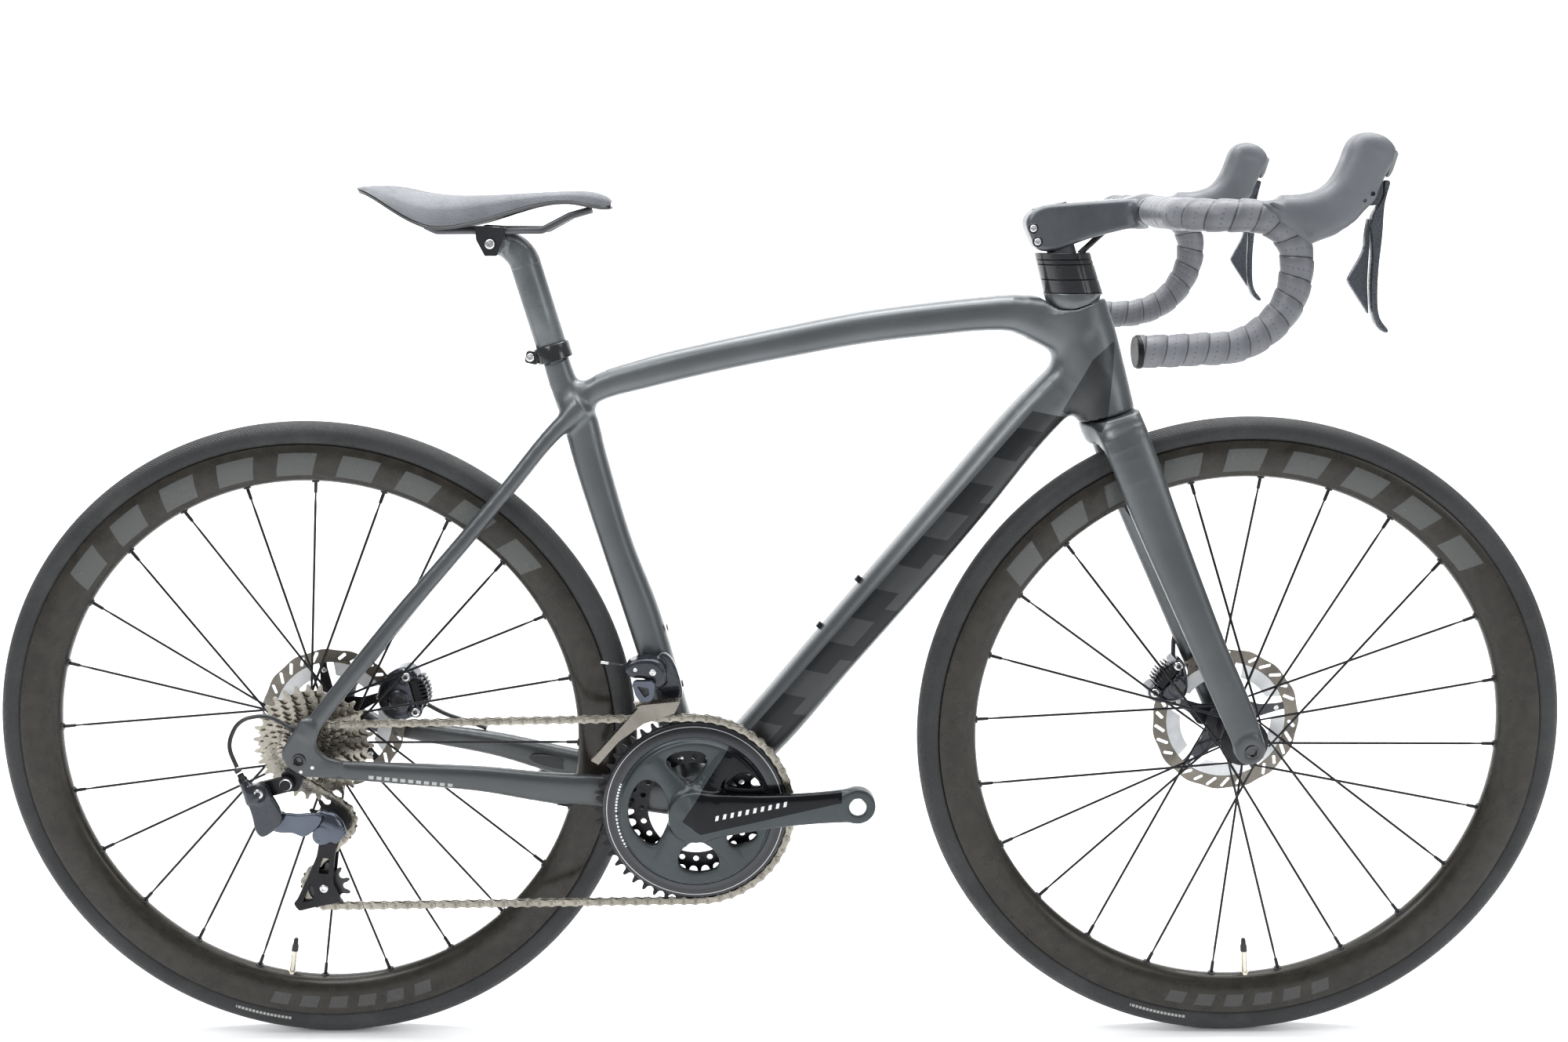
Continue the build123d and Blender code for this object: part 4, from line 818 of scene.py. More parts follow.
# ---------------------------------------------------------------- frame and fork
def frame_shell():
    """Moulded main frame and stays, blended from tubes and hollowed where other parts go in."""
    f = Field((-522, -92, 238), (384, 92, 838), 2.0)
    head_foot = head_at(-HEAD_LENGTH)
    head_tube = [(*head_at(0), 29.5, 25.5), (*head_at(-28, 1), 30.5, 25), (*head_at(-70, 1), 30, 26.5),
                 (*head_foot, 29.5, 29)]
    top_tube = [(308, 0, 764, 25, 20), (275, 0, 780, 24, 20), (243, 0, 788, 18.8, 19.5),
                (218, 0, 787.5, 17.5, 19), (163, 0, 782.6, 17, 18.5), (89, 0, 773.6, 16.5, 17.5),
                (15.5, 0, 760.3, 16, 17), (-58.5, 0, 745.5, 15.6, 15.5), (-133, 0, 728, 15.3, 14),
                (-183, 0, 712.5, 13.4, 13.5), (-212, 0, 694, 11, 13)]
    down_tube = [(322, 0, 738, 24, 20), (262, 0, 676, 24.5, 24.5), (200, 0, 600, 26.3, 26),
                 (141, 0, 528.3, 27, 26), (60, 0, 432, 26.5, 26.5), (-21.7, 0, 335.4, 26, 27),
                 (-70, 0, 288, 22, 30)]
    seat_tube = [(*mast_at(-2), 13.4, 13.4), (*mast_at(-26), 14.2, 13.6), (-213, 0, 706, 15, 14),
                 (-203.5, 0, 684.4, 17.5, 15), (-193, 0, 642, 17.6, 15.5), (-165, 0, 543, 16.6, 16),
                 (-142, 0, 474.5, 18.4, 17), (-124, 0, 412, 18, 19), (-112, 0, 365, 18, 22),
                 (-92, 0, 292, 20, 28)]
    seat_stay = [(-198, -13, 697, 10, 8.5), (-228, -18, 668, 8.6, 8), (-274.4, -28, 612.7, 8, 7.2),
                 (-330, -40, 548, 8.3, 7), (-386.6, -52, 483.8, 8.7, 6.8), (-440, -64, 419, 8.6, 6.4),
                 (-484, -73.5, 364, 8.4, 5)]
    chain_stay = [(-104, -24, 277, 20, 9), (-156, -26, 284, 18.5, 8), (-189, -31, 288.4, 17, 8),
                  (-239.4, -40.5, 295.6, 16.2, 8.2), (-303, -51, 308.7, 13.5, 8.2),
                  (-400, -64, 321, 10.8, 7.2), (-466, -73.5, 329, 9.2, 4.8)]
    f.tube(head_tube, 6, 2.2)
    f.tube(top_tube, 16, 2.7, 40)
    f.tube(down_tube, 18, 2.9, 40)
    f.tube(seat_tube, 12, 2.4, 40)
    f.disc(BB, -42.6, 42.6, 25.5, 8)
    for rows in both_sides(seat_stay):
        f.tube(rows, 9, 2.5, 30)
    for rows in both_sides(chain_stay):
        f.tube(rows, 8, 2.6, 30)
    dropout = rounded([(-509.5, 347), (-501, 329.5), (-486, 321), (-448, 321), (-446, 338), (-462, 342),
                       (-473, 354), (-468, 372), (-484, 386)], 6)
    for low, high in ((-78.2, -71.0), (71.0, 78.2)):
        f.slab(dropout, low, high, 4, 1.6)
    f.cut_tube([(*head_at(0), 24.9, 24.9), (*head_at(30), 38.3, 38.3)])
    f.cut_plane(head_at(0.2), UP, head_at(0) + [8, -34, -24], head_at(0) + [60, 34, 30])
    f.bore(REAR, -90, -76.4, 5.6)
    f.cut_slab([(262, 809.2), (360, 809.2), (360, 850), (262, 850)], -40, 40, 2)
    f.cut_plane(head_at(-HEAD_LENGTH + 0.3), -UP, head_foot - [44, 34, 24], head_foot + [44, 34, 12])
    f.cut_tube([(*head_at(-HEAD_LENGTH - 8), 18.5, 18.5), (*head_at(8), 18.5, 18.5)])
    f.bore(BB, -60, 60, 20.5)
    add("frame_shell", f.skin(), "frame", "frame", "front_triangle rear_triangle", 60)
    add("mast", rings(pipe([mast_at(-4), mast_at(90)], 13.4, 32)), "frame", "frame")


def fork():
    """Crown, two blades and the steerer, with the wheel's arch and the hub's gap cut out."""
    f = Field((266, -72, 318), (512, 72, 700), 1.7)
    base = head_at(-HEAD_LENGTH - 0.8)
    hub_face = 50.2
    crown = [(*(base + UP * 8), 29.3, 29), (*(base - UP * 16), 28, 30), (*(base - UP * 26), 25, 31)]
    f.tube(crown, 4, 2.2, 8)
    blade = [(347, -22, 684, 24, 13), (352, -32, 670, 24, 12), (366, -40, 634, 23.6, 10.6),
             (380.5, -43, 597, 22.6, 10), (421, -48.5, 500, 19.2, 9.6), (444.6, -52, 445, 17.7, 8.8),
             (466.5, -55.5, 396, 17.4, 7.6), (482, -57.4, 360, 16.4, 6.6), (488, -57.4, 344, 15.6, 6.4)]
    for rows in both_sides(blade):
        f.tube(rows, 12, 2.5, 34)
    for side in (-1, 1):
        f.disc((FRONT[0] - 2, FRONT[1] + 2), *sorted((side * hub_face, side * 64)), 15.6, 3)
    f.tube([(350, -24, 677, 20, 12), (350, 24, 677, 20, 12)], 8, 2.2, 0)
    f.bore(FRONT, -21, 21, 352, 6)
    f.cut_plane(base, UP, base - [60, 60, 30], base + [60, 60, 40])
    f.bore(FORK_AXLE, -72, -62.2, 5.6)
    for low, high in ((-hub_face, 0), (0, hub_face)):
        where, (_, y, _) = f.block((460, low, 318), (512, high, 372))
        f.value[where] = np.maximum(f.value[where], (hub_face - np.abs(y)).astype(np.float32))
    steerer = rings(pipe([head_at(-HEAD_LENGTH - 4), head_at(88)], 14.2, 32))
    add("fork_shell", joined(f.skin(), steerer), "steering", "frame", "fork", 60)


# ---------------------------------------------------------------- wheels
def spokes(end, centre, start_angle, flanges):
    """Bladed crossed spokes: round at the flange bend and the nipple, flattened in between."""
    steps = [(0, 1.0, 1.0), (0.05, 1.0, 1.0), (0.09, 1.35, 0.7), (0.5, 1.35, 0.7), (0.9, 1.35, 0.7),
             (0.93, 1.0, 1.0), (0.951, 1.0, 1.0), (0.953, 1.8, 1.8), (0.985, 1.9, 1.9), (1, 1.9, 1.9)]
    flange_radius, rim_radius, cross = 25.6, 276.5, math.radians(52)
    blades = []
    for i in range(SPOKES):
        far = math.radians(start_angle + i * 360 / SPOKES)
        lace = 1 if (i // 2) % 2 == 0 else -1
        side = flanges[i % 2]
        start = about(centre, flange_radius, far + lace * cross, side + 1.6 * lace)
        end_point = about(centre, rim_radius, far, side * 0.03)
        line = [start + (end_point - start) * t for t, _, _ in steps]
        blades.append(rings(pipe(line, [(w, h) for _, w, h in steps], 10)))
    add(f"spoke_blades_{end}", joined(*blades), f"{end}_wheel", "spoke", f"spokes_{end}", 40)


def wheel(end, centre, valve_angle, spoke_start):
    """Deep rim, round tyre, valve with its cap, and a seat in the rim for each nipple."""
    body = f"{end}_wheel"
    half = [(277.0, 0.0), (277.4, 3.4), (279.6, 6.6), (284.0, 9.4), (290.0, 11.4), (297.0, 12.8),
            (304.0, 13.4), (310.0, 13.3), (314.6, 12.9), (316.6, 12.4), (316.9, 11.6), (316.2, 9.6)]
    section = half + [(r, -y) for r, y in half[:0:-1]]
    add(f"rim_shell_{end}", lathe(section, centre, 200), body, f"rim_{end}", f"rim_{end}", 50)
    arc = [(326 + 14 * math.cos(a), 14 * math.sin(a)) for a in np.radians(np.linspace(-139, 139, 44))]
    section = arc + [(316.2, 9.0), (316.4, 0.0), (316.2, -9.0)]
    add(f"tyre_shell_{end}", lathe(section, centre, 220), body, f"tyre_{end}", f"tyre_{end}", 50)
    stem = [(278, 4.6), (275.2, 4.6), (275.0, 3.0), (253, 3.0), (252.6, 3.9), (251.4, 3.9), (251, 2.9)]
    cap = [(251.6, 3.6), (246, 3.6), (243, 2.7), (238, 2.4), (236.6, 1.4)]
    for name, steps, finish, slot in (("valve", stem, "valve", "alloy_silver"),
                                      ("valve_cap", cap, "black_satin", "black_satin")):
        line = [about(centre, r, math.radians(valve_angle)) for r, _ in steps]
        add(f"{name}_{end}", rings(pipe(line, [(w, w) for _, w in steps], 20)), body, finish)
    seats = []
    for i in range(SPOKES):
        angle = math.radians(spoke_start + i * 360 / SPOKES)
        seats.append(rings(pipe([about(centre, r, angle) for r in (277.6, 275.8)], 4.0, 14)))
    add(f"nipple_seats_{end}", joined(*seats), body, "black_satin")


def hubs():
    """Hub shells with their spoke flanges, as (radius, y) outlines."""
    front = [(6.1, -49.5), (9.6, -49.5), (11, -47), (11.2, -41), (13.5, -37), (24, -35.2), (25.2, -34),
             (25.2, -32), (24, -30.8), (15, -28), (12.6, -22), (12, 0), (12.6, 14), (15, 19), (24, 22.2),
             (25.2, 23.2), (25.2, 25), (24, 26), (15, 29), (11.4, 33), (10.6, 36), (10.6, 48), (9.6, 49.5),
             (6.1, 49.5)]
    rear = [(6.1, -22.1), (14, -22.1), (17, -20.4), (24, -19), (25.2, -18), (25.2, -16), (24, -14.8),
            (17, -11), (13.5, -4), (13, 12), (14, 26), (24, 32.4), (25.2, 33.4), (25.2, 35), (24, 36),
            (15, 39), (11, 43), (10.6, 46), (10.6, 69), (9.6, 70.5), (6.1, 70.5)]
    for end, outline, centre in (("front", front, FRONT), ("rear", rear, REAR)):
        add(f"hub_shell_{end}", lathe(outline, centre, 64), f"{end}_wheel", "anodised",
            f"hub_{end}")


def rotor(end, centre, turn):
    """Wavy steel band with slanted slots, alloy fins inside it, and a five-arm carrier with rivets."""
    body, y = f"{end}_wheel", ROTOR_Y[end]
    arms_count, band_inner, slots = 5, 64.5, 30
    edge = []
    for a in np.linspace(0, 2 * np.pi, 180, endpoint=False):
        r = 79.1 + 0.72 * math.cos(15 * a)
        edge.append((centre[0] + r * math.cos(a), centre[1] + r * math.sin(a)))
    holes = [circle(centre, band_inner, 120)[::-1]]
    for i in range(slots):
        if i % 6 == 0:
            continue
        long = 5.2 if i % 6 in (2, 5) else 6.6
        a = math.radians(turn + i * 360 / slots)
        middle = (centre[0] + 72.0 * math.cos(a), centre[1] + 72.0 * math.sin(a))
        box = [(-long, -1.7), (long, -1.7), (long, 1.7), (-long, 1.7)]
        holes.append(rounded(turned(box, middle, math.degrees(a) - 42), 1.6, 4)[::-1])
    band = plate([np.array(edge)] + holes, y - 0.9, y + 0.9, 0.2)
    add(f"rotor_band_{end}", band, body, "rotor", f"rotor_{end}")
    fins, arms, rivets = [], [], []
    arm = [(18, -11), (34, -5.5), (60, -3.6), (69, -4.6), (69, 4.6), (60, 4.0), (40, 7.5), (26, 16), (18, 14)]
    for i in range(arms_count):
        lean = turn + 6 + i * 360 / arms_count
        a = math.radians(lean)
        sector = [(math.cos(a + t) * r, math.sin(a + t) * r)
                  for r, spread in ((66.5, np.linspace(0.16, 1.08, 14)), (49.5, np.linspace(1.02, 0.3, 12)))
                  for t in spread]
        fins.append(plate([np.array(sector) + centre], y - 0.7, y + 0.7, 0.15))
        arms.append(plate([rounded(turned(arm, centre, lean), 3.5)], y - 0.85, y + 0.85, 0.2))
        spot = turned([(56.0, 0)], centre, lean)[0]
        rivets += [bolt_head(spot, 2.8, y + side * 1.5, y + side * 0.6) for side in (-1, 1)]
    boss = [(11, y - 3), (19, y - 2.2), (20.5, y - 1.6), (20.5, y + 1.6), (19, y + 2.4), (17, y + 4),
            (11, y + 4)]
    arms.append(lathe(boss, centre, 60))
    add(f"rotor_fins_{end}", joined(*fins), body, "fins")
    add(f"rotor_arms_{end}", joined(*arms), body, "mech" if end == "front" else "anodised")
    add(f"rotor_rivets_{end}", joined(*rivets), body, "steel")


# ---------------------------------------------------------------- cockpit
def fillet_path(points, radii, step=1.25):
    """Evenly spaced points on a line of straights joined by arcs, and their distances along it."""
    pts = [np.asarray(p, float) for p in points]
    route = [pts[0]]
    for before, here, after, radius in zip(pts, pts[1:], pts[2:], radii):
        a, b = before - here, after - here
        a, b = a / np.linalg.norm(a), b / np.linalg.norm(b)
        half = math.acos(float(np.clip(a @ b, -1, 1))) / 2
        reach = radius / math.tan(half)
        middle = (a + b) / np.linalg.norm(a + b)
        centre = here + middle * radius / math.sin(half)
        u, w = here + a * reach - centre, here + b * reach - centre
        span = math.pi - 2 * half
        for t in np.linspace(0, 1, 26):
            route.append((u * math.sin(span * (1 - t)) + w * math.sin(span * t)) / math.sin(span) + centre)
    route = np.array(route + [pts[-1]])
    steps = np.linalg.norm(np.diff(route, axis=0), axis=1)
    along = np.concatenate([[0], np.cumsum(steps)])
    keep = np.concatenate([[True], steps > 1e-6])
    even = np.linspace(0, along[-1], int(along[-1] / step) + 1)
    return np.column_stack([np.interp(even, along[keep], route[keep, i]) for i in range(3)]), even


def bar_line(start_y, side):
    """Middle line of one half of the handlebar, from beside the stem to the end of the drop."""
    points = [(374, side * start_y, 890), (374, side * BAR_Y, 890), (470, side * BAR_Y, 888),
              (470, side * (BAR_Y + 2), 773), (329, side * (BAR_Y + 6), 768.2)]
    return fillet_path(points, (46, 42, 71))


def tape_rise(lap):
    """Height of the tape across its width: a quick step over the edge below it, then a slow fall."""
    step = min(lap / 0.13, 1.0)
    return 1.45 * step * step * (3 - 2 * step) * (1 - 0.72 * max(0.0, (lap - 0.42) / 0.58) ** 1.3)


def tape(side):
    """Helical wraps, each turn over the edge of the turn before it, and the plug that ends them."""
    line, along = bar_line(46, side)
    name = HANDS[side][0]
    sides, pitch, bar_radius = 36, 19.0, 13.75
    run = np.gradient(line, axis=0)
    run /= np.linalg.norm(run, axis=1)[:, None]
    across = np.array([1.0, 0, 0])
    verts, marks = [], []
    for p, t, s in zip(line, run, along):
        across = across - t * (across @ t)
        across /= np.linalg.norm(across)
        other = np.cross(t, across)
        for k in range(sides + 1):
            v = k / sides
            u = s / pitch + v
            a = 2 * math.pi * v
            r = bar_radius + tape_rise(u % 1.0) + 0.22 * math.sin(a + s * 0.11)
            verts.append(p + (across * math.cos(a) + other * math.sin(a)) * r)
            marks.append((u, v))
    row = sides + 1
    faces = [(a, a + row, a + row + 1, a + 1)
             for i in range(len(line) - 1) for a in range(i * row, i * row + sides)]
    made = add(f"tape_wrap_{name}", (verts, faces), "steering", "tape", "bar_tape", 50)
    layer = made.data.uv_layers.new(name="wrap")
    corners = np.zeros(len(made.data.loops), np.int32)
    made.data.loops.foreach_get("vertex_index", corners)
    layer.data.foreach_set("uv", np.array(marks)[corners].ravel())
    ring = [(-2.2, 14.2), (-2.2, 15.3), (-0.2, 15.5), (1.4, 15.3), (2.2, 14.4), (2.0, 13.2)]
    cap = [(1.0, 13.2), (2.0, 13.2), (2.9, 12.4), (3.1, 10.0), (2.4, 9.4), (2.4, 4.0), (3.0, 3.6), (3.1, 0.4)]
    for label, steps, finish, slot in (("plug_ring", ring, "anodised", "steel"),
                                       ("plug_cap", cap, "black_gloss", "black_gloss")):
        loops = [ellipse(line[-1] + run[-1] * d, across, other, r, r, 36) for d, r in steps]
        add(f"{label}_{name}", rings(loops), "steering", finish)


def stem_shell():
    """Stem body with its clamp round the bar, top plate, side bolts and their seats."""
    f = Field((240, -44, 838), (402, 44, 914), 1.3)
    side = smooth_outline([(258.2, 889.7), (253, 879.2), (257.5, 866), (264, 854), (272, 850.8), (286, 851.6),
                           (302, 857.8), (322, 864.4), (350, 871.4), (368, 875), (384, 880), (388, 892),
                           (379, 903.6), (348, 902.2), (288, 898.2), (270, 896)], 4)
    f.slab(side, -18.5, 18.5, 0, 5.5)
    clamp = [(-33, 13.6), (-20, 14.6), (0, 15.5), (20, 14.6), (33, 13.6)]
    f.tube([(374, y, 890, r, r) for y, r in clamp], 12, 2.0, 12)
    f.cut_slab([(380, 872), (402, 872), (402, 878), (372, 878)], -44, 44, 3, 1)
    add("stem_shell", f.skin(2), "steering", "stem", "stem", 60)
    centre, lift, lay = np.array([278.5, 0, 893.8]), np.array([-0.215, 0, 0.977]), np.array([0.977, 0, 0.215])
    discs = [ellipse(centre + lift * up, lay, SIDE, r, r * 0.78, 56)
             for up, r in ((-1.5, 18), (2.4, 18), (3.0, 17.4), (3.1, 12), (2.6, 11.4), (2.6, 1.0))]
    add("stem_cap_plate", rings(discs), "steering", "plate")
    places = ((259.9, 873.9), (264.4, 860.6))
    bolts = [bolt_head(place, 3.7, -20.2, -17.6) for place in places]
    add("stem_bolts", joined(*bolts), "steering", "steel")
    seats = [lathe([(3.7, -18.2), (4.9, -18.2), (5.3, -18.7), (4.9, -19.1), (3.7, -19.1)], place, 28)
             for place in places]
    face = lathe([(13.2, -33.6), (13.9, -33.2), (13.9, -31.4), (13.2, -31.4)], (374, 890), 40)
    add("stem_bolt_seats", joined(*seats, face, mirrored(face)), "steering", "black_gloss")


def oval(z, half_x, half_y, count=64):
    """Level loop round the steerer's line, slightly squarer than an ellipse."""
    turn = np.linspace(0, 2 * np.pi, count, endpoint=False)
    c, s = np.cos(turn), np.sin(turn)
    middle = 293.2 + (845 - z) * 0.2981
    return np.column_stack([middle + half_x * np.sign(c) * np.abs(c)**0.94,
                            half_y * np.sign(s) * np.abs(s)**0.94, np.full(count, z)])


def spacers():
    """Stack of oval spacers, and the cover that fairs them into the round head tube."""
    levels = (808.9, 822.6, 837.6, 842.4, 849.4)
    parts = []
    for low, high in zip(levels, levels[1:]):
        wide, narrow = [30.2 - (z - 808.8) * 0.045 for z in (low, high)]
        parts.append(rings([oval(low + 0.05, wide - 0.9, wide - 4.9), oval(low + 0.7, wide, wide - 4),
                            oval(high - 0.7, narrow, narrow - 4),
                            oval(high - 0.05, narrow - 0.9, narrow - 4.9)]))
    add("spacer_stack", joined(*parts), "steering", "black_gloss", "steering_spacers", 30)
    foot = ellipse(head_at(0.9), FWD, SIDE, 24.2, 24.2, 64)
    lift = ellipse(head_at(5), FWD, SIDE, 27.2, 25.6, 64)
    lift[:, 2] = np.minimum(lift[:, 2], 806.5)
    cover = rings([foot, lift, oval(807.6, 30.4, 26.4), oval(808.6, 29.8, 25.8)])
    add("headset_cover", cover, "steering", "frame", "", 50)


HOOD = [(434, 900.5), (450, 903.6), (466.6, 905.5), (485.8, 911.5), (497.2, 921.3), (504.5, 936.3),
        (509.6, 951.5), (517, 959.6), (528, 961.6), (541, 957.4), (550.2, 947), (548, 935), (543.5, 926),
        (537.5, 914.5), (534, 902), (524, 893.5), (515.9, 883.2), (503, 873.4), (484, 865.4), (476, 862),
        (466, 866), (452, 879.5), (440, 892)]
BLADE = [(541.6, 918.6), (546.6, 918.2), (544.6, 908), (542.6, 895.3), (542.3, 871), (540.6, 840),
         (541.4, 812), (544.6, 797.4), (552.2, 787.2), (549.6, 784.6), (541.9, 792), (537, 806),
         (534.9, 830), (534.9, 855.5), (532.4, 884), (537, 896.5), (541.4, 906)]
PADDLE = [(531, 886), (528.9, 870), (528, 857), (516.8, 834.6), (516.6, 829.5), (519.8, 824),
          (532.6, 805.4), (535.4, 801.6), (535, 808), (533.1, 830), (533.1, 855.5), (532.6, 872)]


def hood(side):
    """Rubber hood over the lever body with its screws, chrome strip and rear lip."""
    name, flip = HANDS[side]
    f = Field((424, -216, 850), (560, -164, 968), 1.3)
    f.slab(smooth_outline(HOOD, 4), -207, -173, 0, 12)
    f.tube([(452, -190, 893, 14, 16.5), (480, -190, 889, 17, 18), (508, -190, 898, 16, 17.4),
            (524, -190, 922, 14, 16.6), (530, -190, 940, 15, 16)], 8, 2.3, 20)
    f.cut_slab([(506, 880), (512, 914), (528, 925), (566, 925.5), (566, 866), (502, 866)],
               -199.5, -180.5, 2, 1.5)
    screws = joined(bolt_head((528.5, 908), 2.1, -208.4, -205.6),
                    bolt_head((521.5, 902.2), 1.7, -208.6, -205.6))
    strip = rounded([(550.6, 946.5), (553.0, 943.0), (548.4, 927), (545.4, 921.5), (543.2, 923),
                     (546.6, 933)], 2)
    lip = smooth_outline([(441, 899), (452, 893), (463, 884), (474, 872), (476.4, 873.6), (466, 885.6),
                          (454, 895.4), (442, 901.2)], 3)
    add(f"hood_{name}", flip(f.skin(2)), "steering", "hood", "lever_hoods", 60)
    add(f"hood_screws_{name}", flip(screws), "steering", "anodised")
    add(f"hood_strip_{name}", flip(plate([strip], -198.5, -181.5, 0.8)), "steering", "chrome")
    add(f"hood_lip_{name}", flip(plate([lip], -208.1, -171.9, 0.5)), "steering", "hood")


def levers():
    """Brake blades, and the shift paddles behind them."""
    blade = plate([smooth_outline(BLADE, 4)], -199.5, -188.2, 1.3)
    paddle = plate([smooth_outline(PADDLE, 4)], -194.2, -186.6, 0.9)
    for name, flip in HANDS.values():
        add(f"blade_shell_{name}", flip(blade), f"blade_{name}", "lever",
            f"brake_blade_{name}", 30)
        add(f"paddle_shell_{name}", flip(paddle), f"paddle_{name}", "lever",
            f"shift_paddle_{name}", 30)


# ---------------------------------------------------------------- seat
def seat():
    """Sliding post over the mast with its clamp head, and the collar round its foot."""
    ahead = np.array([math.sin(MAST_ANGLE), 0, math.cos(MAST_ANGLE)])

    def sleeve(steps):
        return rings([ellipse(mast_at(up), ahead, SIDE, r, r, 48) for up, r in steps], closed=True)

    f = Field((-312, -32, 828), (-232, 32, 892), 1.2)
    f.tube([(*mast_at(97.2), 15.8, 15.8), (*mast_at(104), 15.8, 15.8), (-263, 0, 855, 15.2, 15.2),
            (-277, 0, 864, 12.5, 14.5)], 6, 2.2, 12)
    f.disc((-283, 863.6), -17, 17, 13.2, 6)
    f.cut_slab([(-312, 871.4), (-232, 871.4), (-232, 900), (-312, 900)], -40, 40, 0, 0.3)
    f.cut_plane(mast_at(97.4), -MAST_UP, mast_at(97) - [30, 30, 22], mast_at(97) + [30, 30, 14])
    post = sleeve([(0.3, 14.2), (0.3, 15.2), (1.0, 15.8), (60, 15.8), (100, 15.8), (97, 14.2)])
    add("post_shell", joined(post, f.skin()), "seatpost", "post", "seatpost", 50)
    band = sleeve([(-2, 15.9), (-2, 17.8), (-1.2, 18.5), (13.8, 18.5), (14.8, 17.8), (14.8, 15.9)])
    middle = mast_at(6.5) + [-21.5, 0, -5]
    ear = [(middle[0] + x, middle[2] + z) for x, z in ((-8, -5), (5.6, -8), (7.6, 5), (-5, 8))]
    add("collar_shell", joined(band, plate([rounded(ear, 3.5)], -8, 8, 1.2)), "seatpost", "black_gloss",
        "seat_collar", 40)
    bolt = bolt_head((middle[0] - 1.5, middle[2] + 0.5), 4.4, -10.4, -7.8)
    clamp_bolt = bolt_head((-283, 862), 4.9, -35.6, -33.4)
    add("collar_bolt", joined(bolt, clamp_bolt), "seatpost", "steel")


# Saddle sections from tail to nose: (x, half width, top z, edge z).
SADDLE = [(-411.5, 38, 917.6, 915.2), (-407, 50, 919.2, 912.8), (-398, 62, 920.2, 910.8),
          (-384, 71, 919.4, 904), (-372, 74, 917.4, 896.4), (-354, 73, 913.6, 885.4),
          (-335, 67, 911.2, 877.4), (-318, 57, 910.2, 877.2), (-300, 44.5, 910.3, 880.2),
          (-280, 33.5, 910.9, 885.6), (-262, 27, 911.6, 891), (-241, 23, 912.6, 896.6),
          (-220, 20.5, 913.4, 899.8), (-203, 19.2, 913.9, 900), (-186, 18.2, 913, 897),
          (-175, 16.4, 910.6, 895), (-168, 13.6, 907.4, 894.6), (-164, 9.6, 903.4, 895.4)]


def level(x, y, z):
    """Points of one section across the saddle."""
    return np.column_stack([np.full(len(y), x), y, z])


def saddle():
    """Padded cover with a domed top and a channel, over a thin base with a rolled edge."""
    pad, base = [], []
    for x, w, z, e in spline(SADDLE, 70):
        up = np.linspace(-1, 1, 33)
        dome = (1 - np.abs(up)**3.4) ** 0.42
        dip = 1.6 * np.exp(-(up * w / 9)**2) * min(max((w - 18) / 20, 0), 1)
        back = np.linspace(1, -1, 17)[1:-1]
        rise = (z - e) * 0.5 * (1 - np.abs(back)**4)
        pad.append(np.vstack([level(x, up * w, e + 4.0 + (z - e - 4.0) * dome - dip * dome),
                              level(x, back * (w - 1.2), e + 3.0 + rise)]))
        edge, wide = np.linspace(-1, 1, 25), w + 0.25
        bow = 1 - np.abs(edge)**4
        rise = (z - e) * 0.5 * bow
        base.append(np.vstack([level(x, edge[::-1] * wide, e + 2.9 + rise[::-1]),
                               level(x, edge * (wide - 1.0), e + 0.2 + rise - 1.2 * bow)]))
    cover = add("saddle_pad", rings(pad), "saddle", "saddle", "saddle_cover", 55)
    add("saddle_base", rings(base), "saddle", "black_gloss", "saddle_shell", 40)


# ---------------------------------------------------------------- chainset
def on_crank(radius, turn=0.0):
    """Place round the crank's axle, measured from the line of the right arm."""
    a = CRANK_TURN + math.radians(turn)
    return BB[0] + radius * math.cos(a), BB[1] + radius * math.sin(a)


def crank_rows(table, angle=CRANK_TURN):
    """Rows along a line from the axle, from (radius, depth, y, half width)."""
    c, s = math.cos(angle), math.sin(angle)
    return [(BB[0] + r * c, y, BB[1] + r * s, depth, half) for r, depth, y, half in table]


def pedal_thread(side):
    """Steel insert in the eye at the end of an arm."""
    outline = [(7.2, 73.2), (8.8, 73.2), (9.4, 72.6), (9.4, 59.6), (8.8, 59.2), (7.2, 59.2)]
    eye = on_crank(-side * CRANK_LENGTH)
    insert = lathe([(r, side * y) for r, y in outline], eye, 40)
    add(f"pedal_thread_{HANDS[side][0]}", insert, "crank", "steel")


CUT_OUTS = [
    [(-28, 59), (-18, 66), (0, 67.5), (11, 64), (13.5, 56), (5, 41), (-5, 33), (-13, 40), (-25, 51)],
    [(-48, 37), (-34, 29), (-27.6, 13), (-26.4, 0), (-30, -15), (-38, -31), (-44, -35.5), (-53, -32),
     (-63, -21), (-68.4, -9), (-69, 5), (-66, 20), (-58, 33)],
    [(2, -29.5), (14, -34.5), (22, -44), (25, -55), (19, -62.5), (2, -65.5), (-13, -61.5), (-18, -52),
     (-12, -37)],
    [(35, -23.5), (46, -19.8), (60, -19), (65.5, -22.5), (60, -30), (50, -35), (40, -35.5), (33.5, -30)],
    [(35, 30.5), (44, 41), (56, 43.5), (66, 36), (70, 28.5), (52, 27)],
]


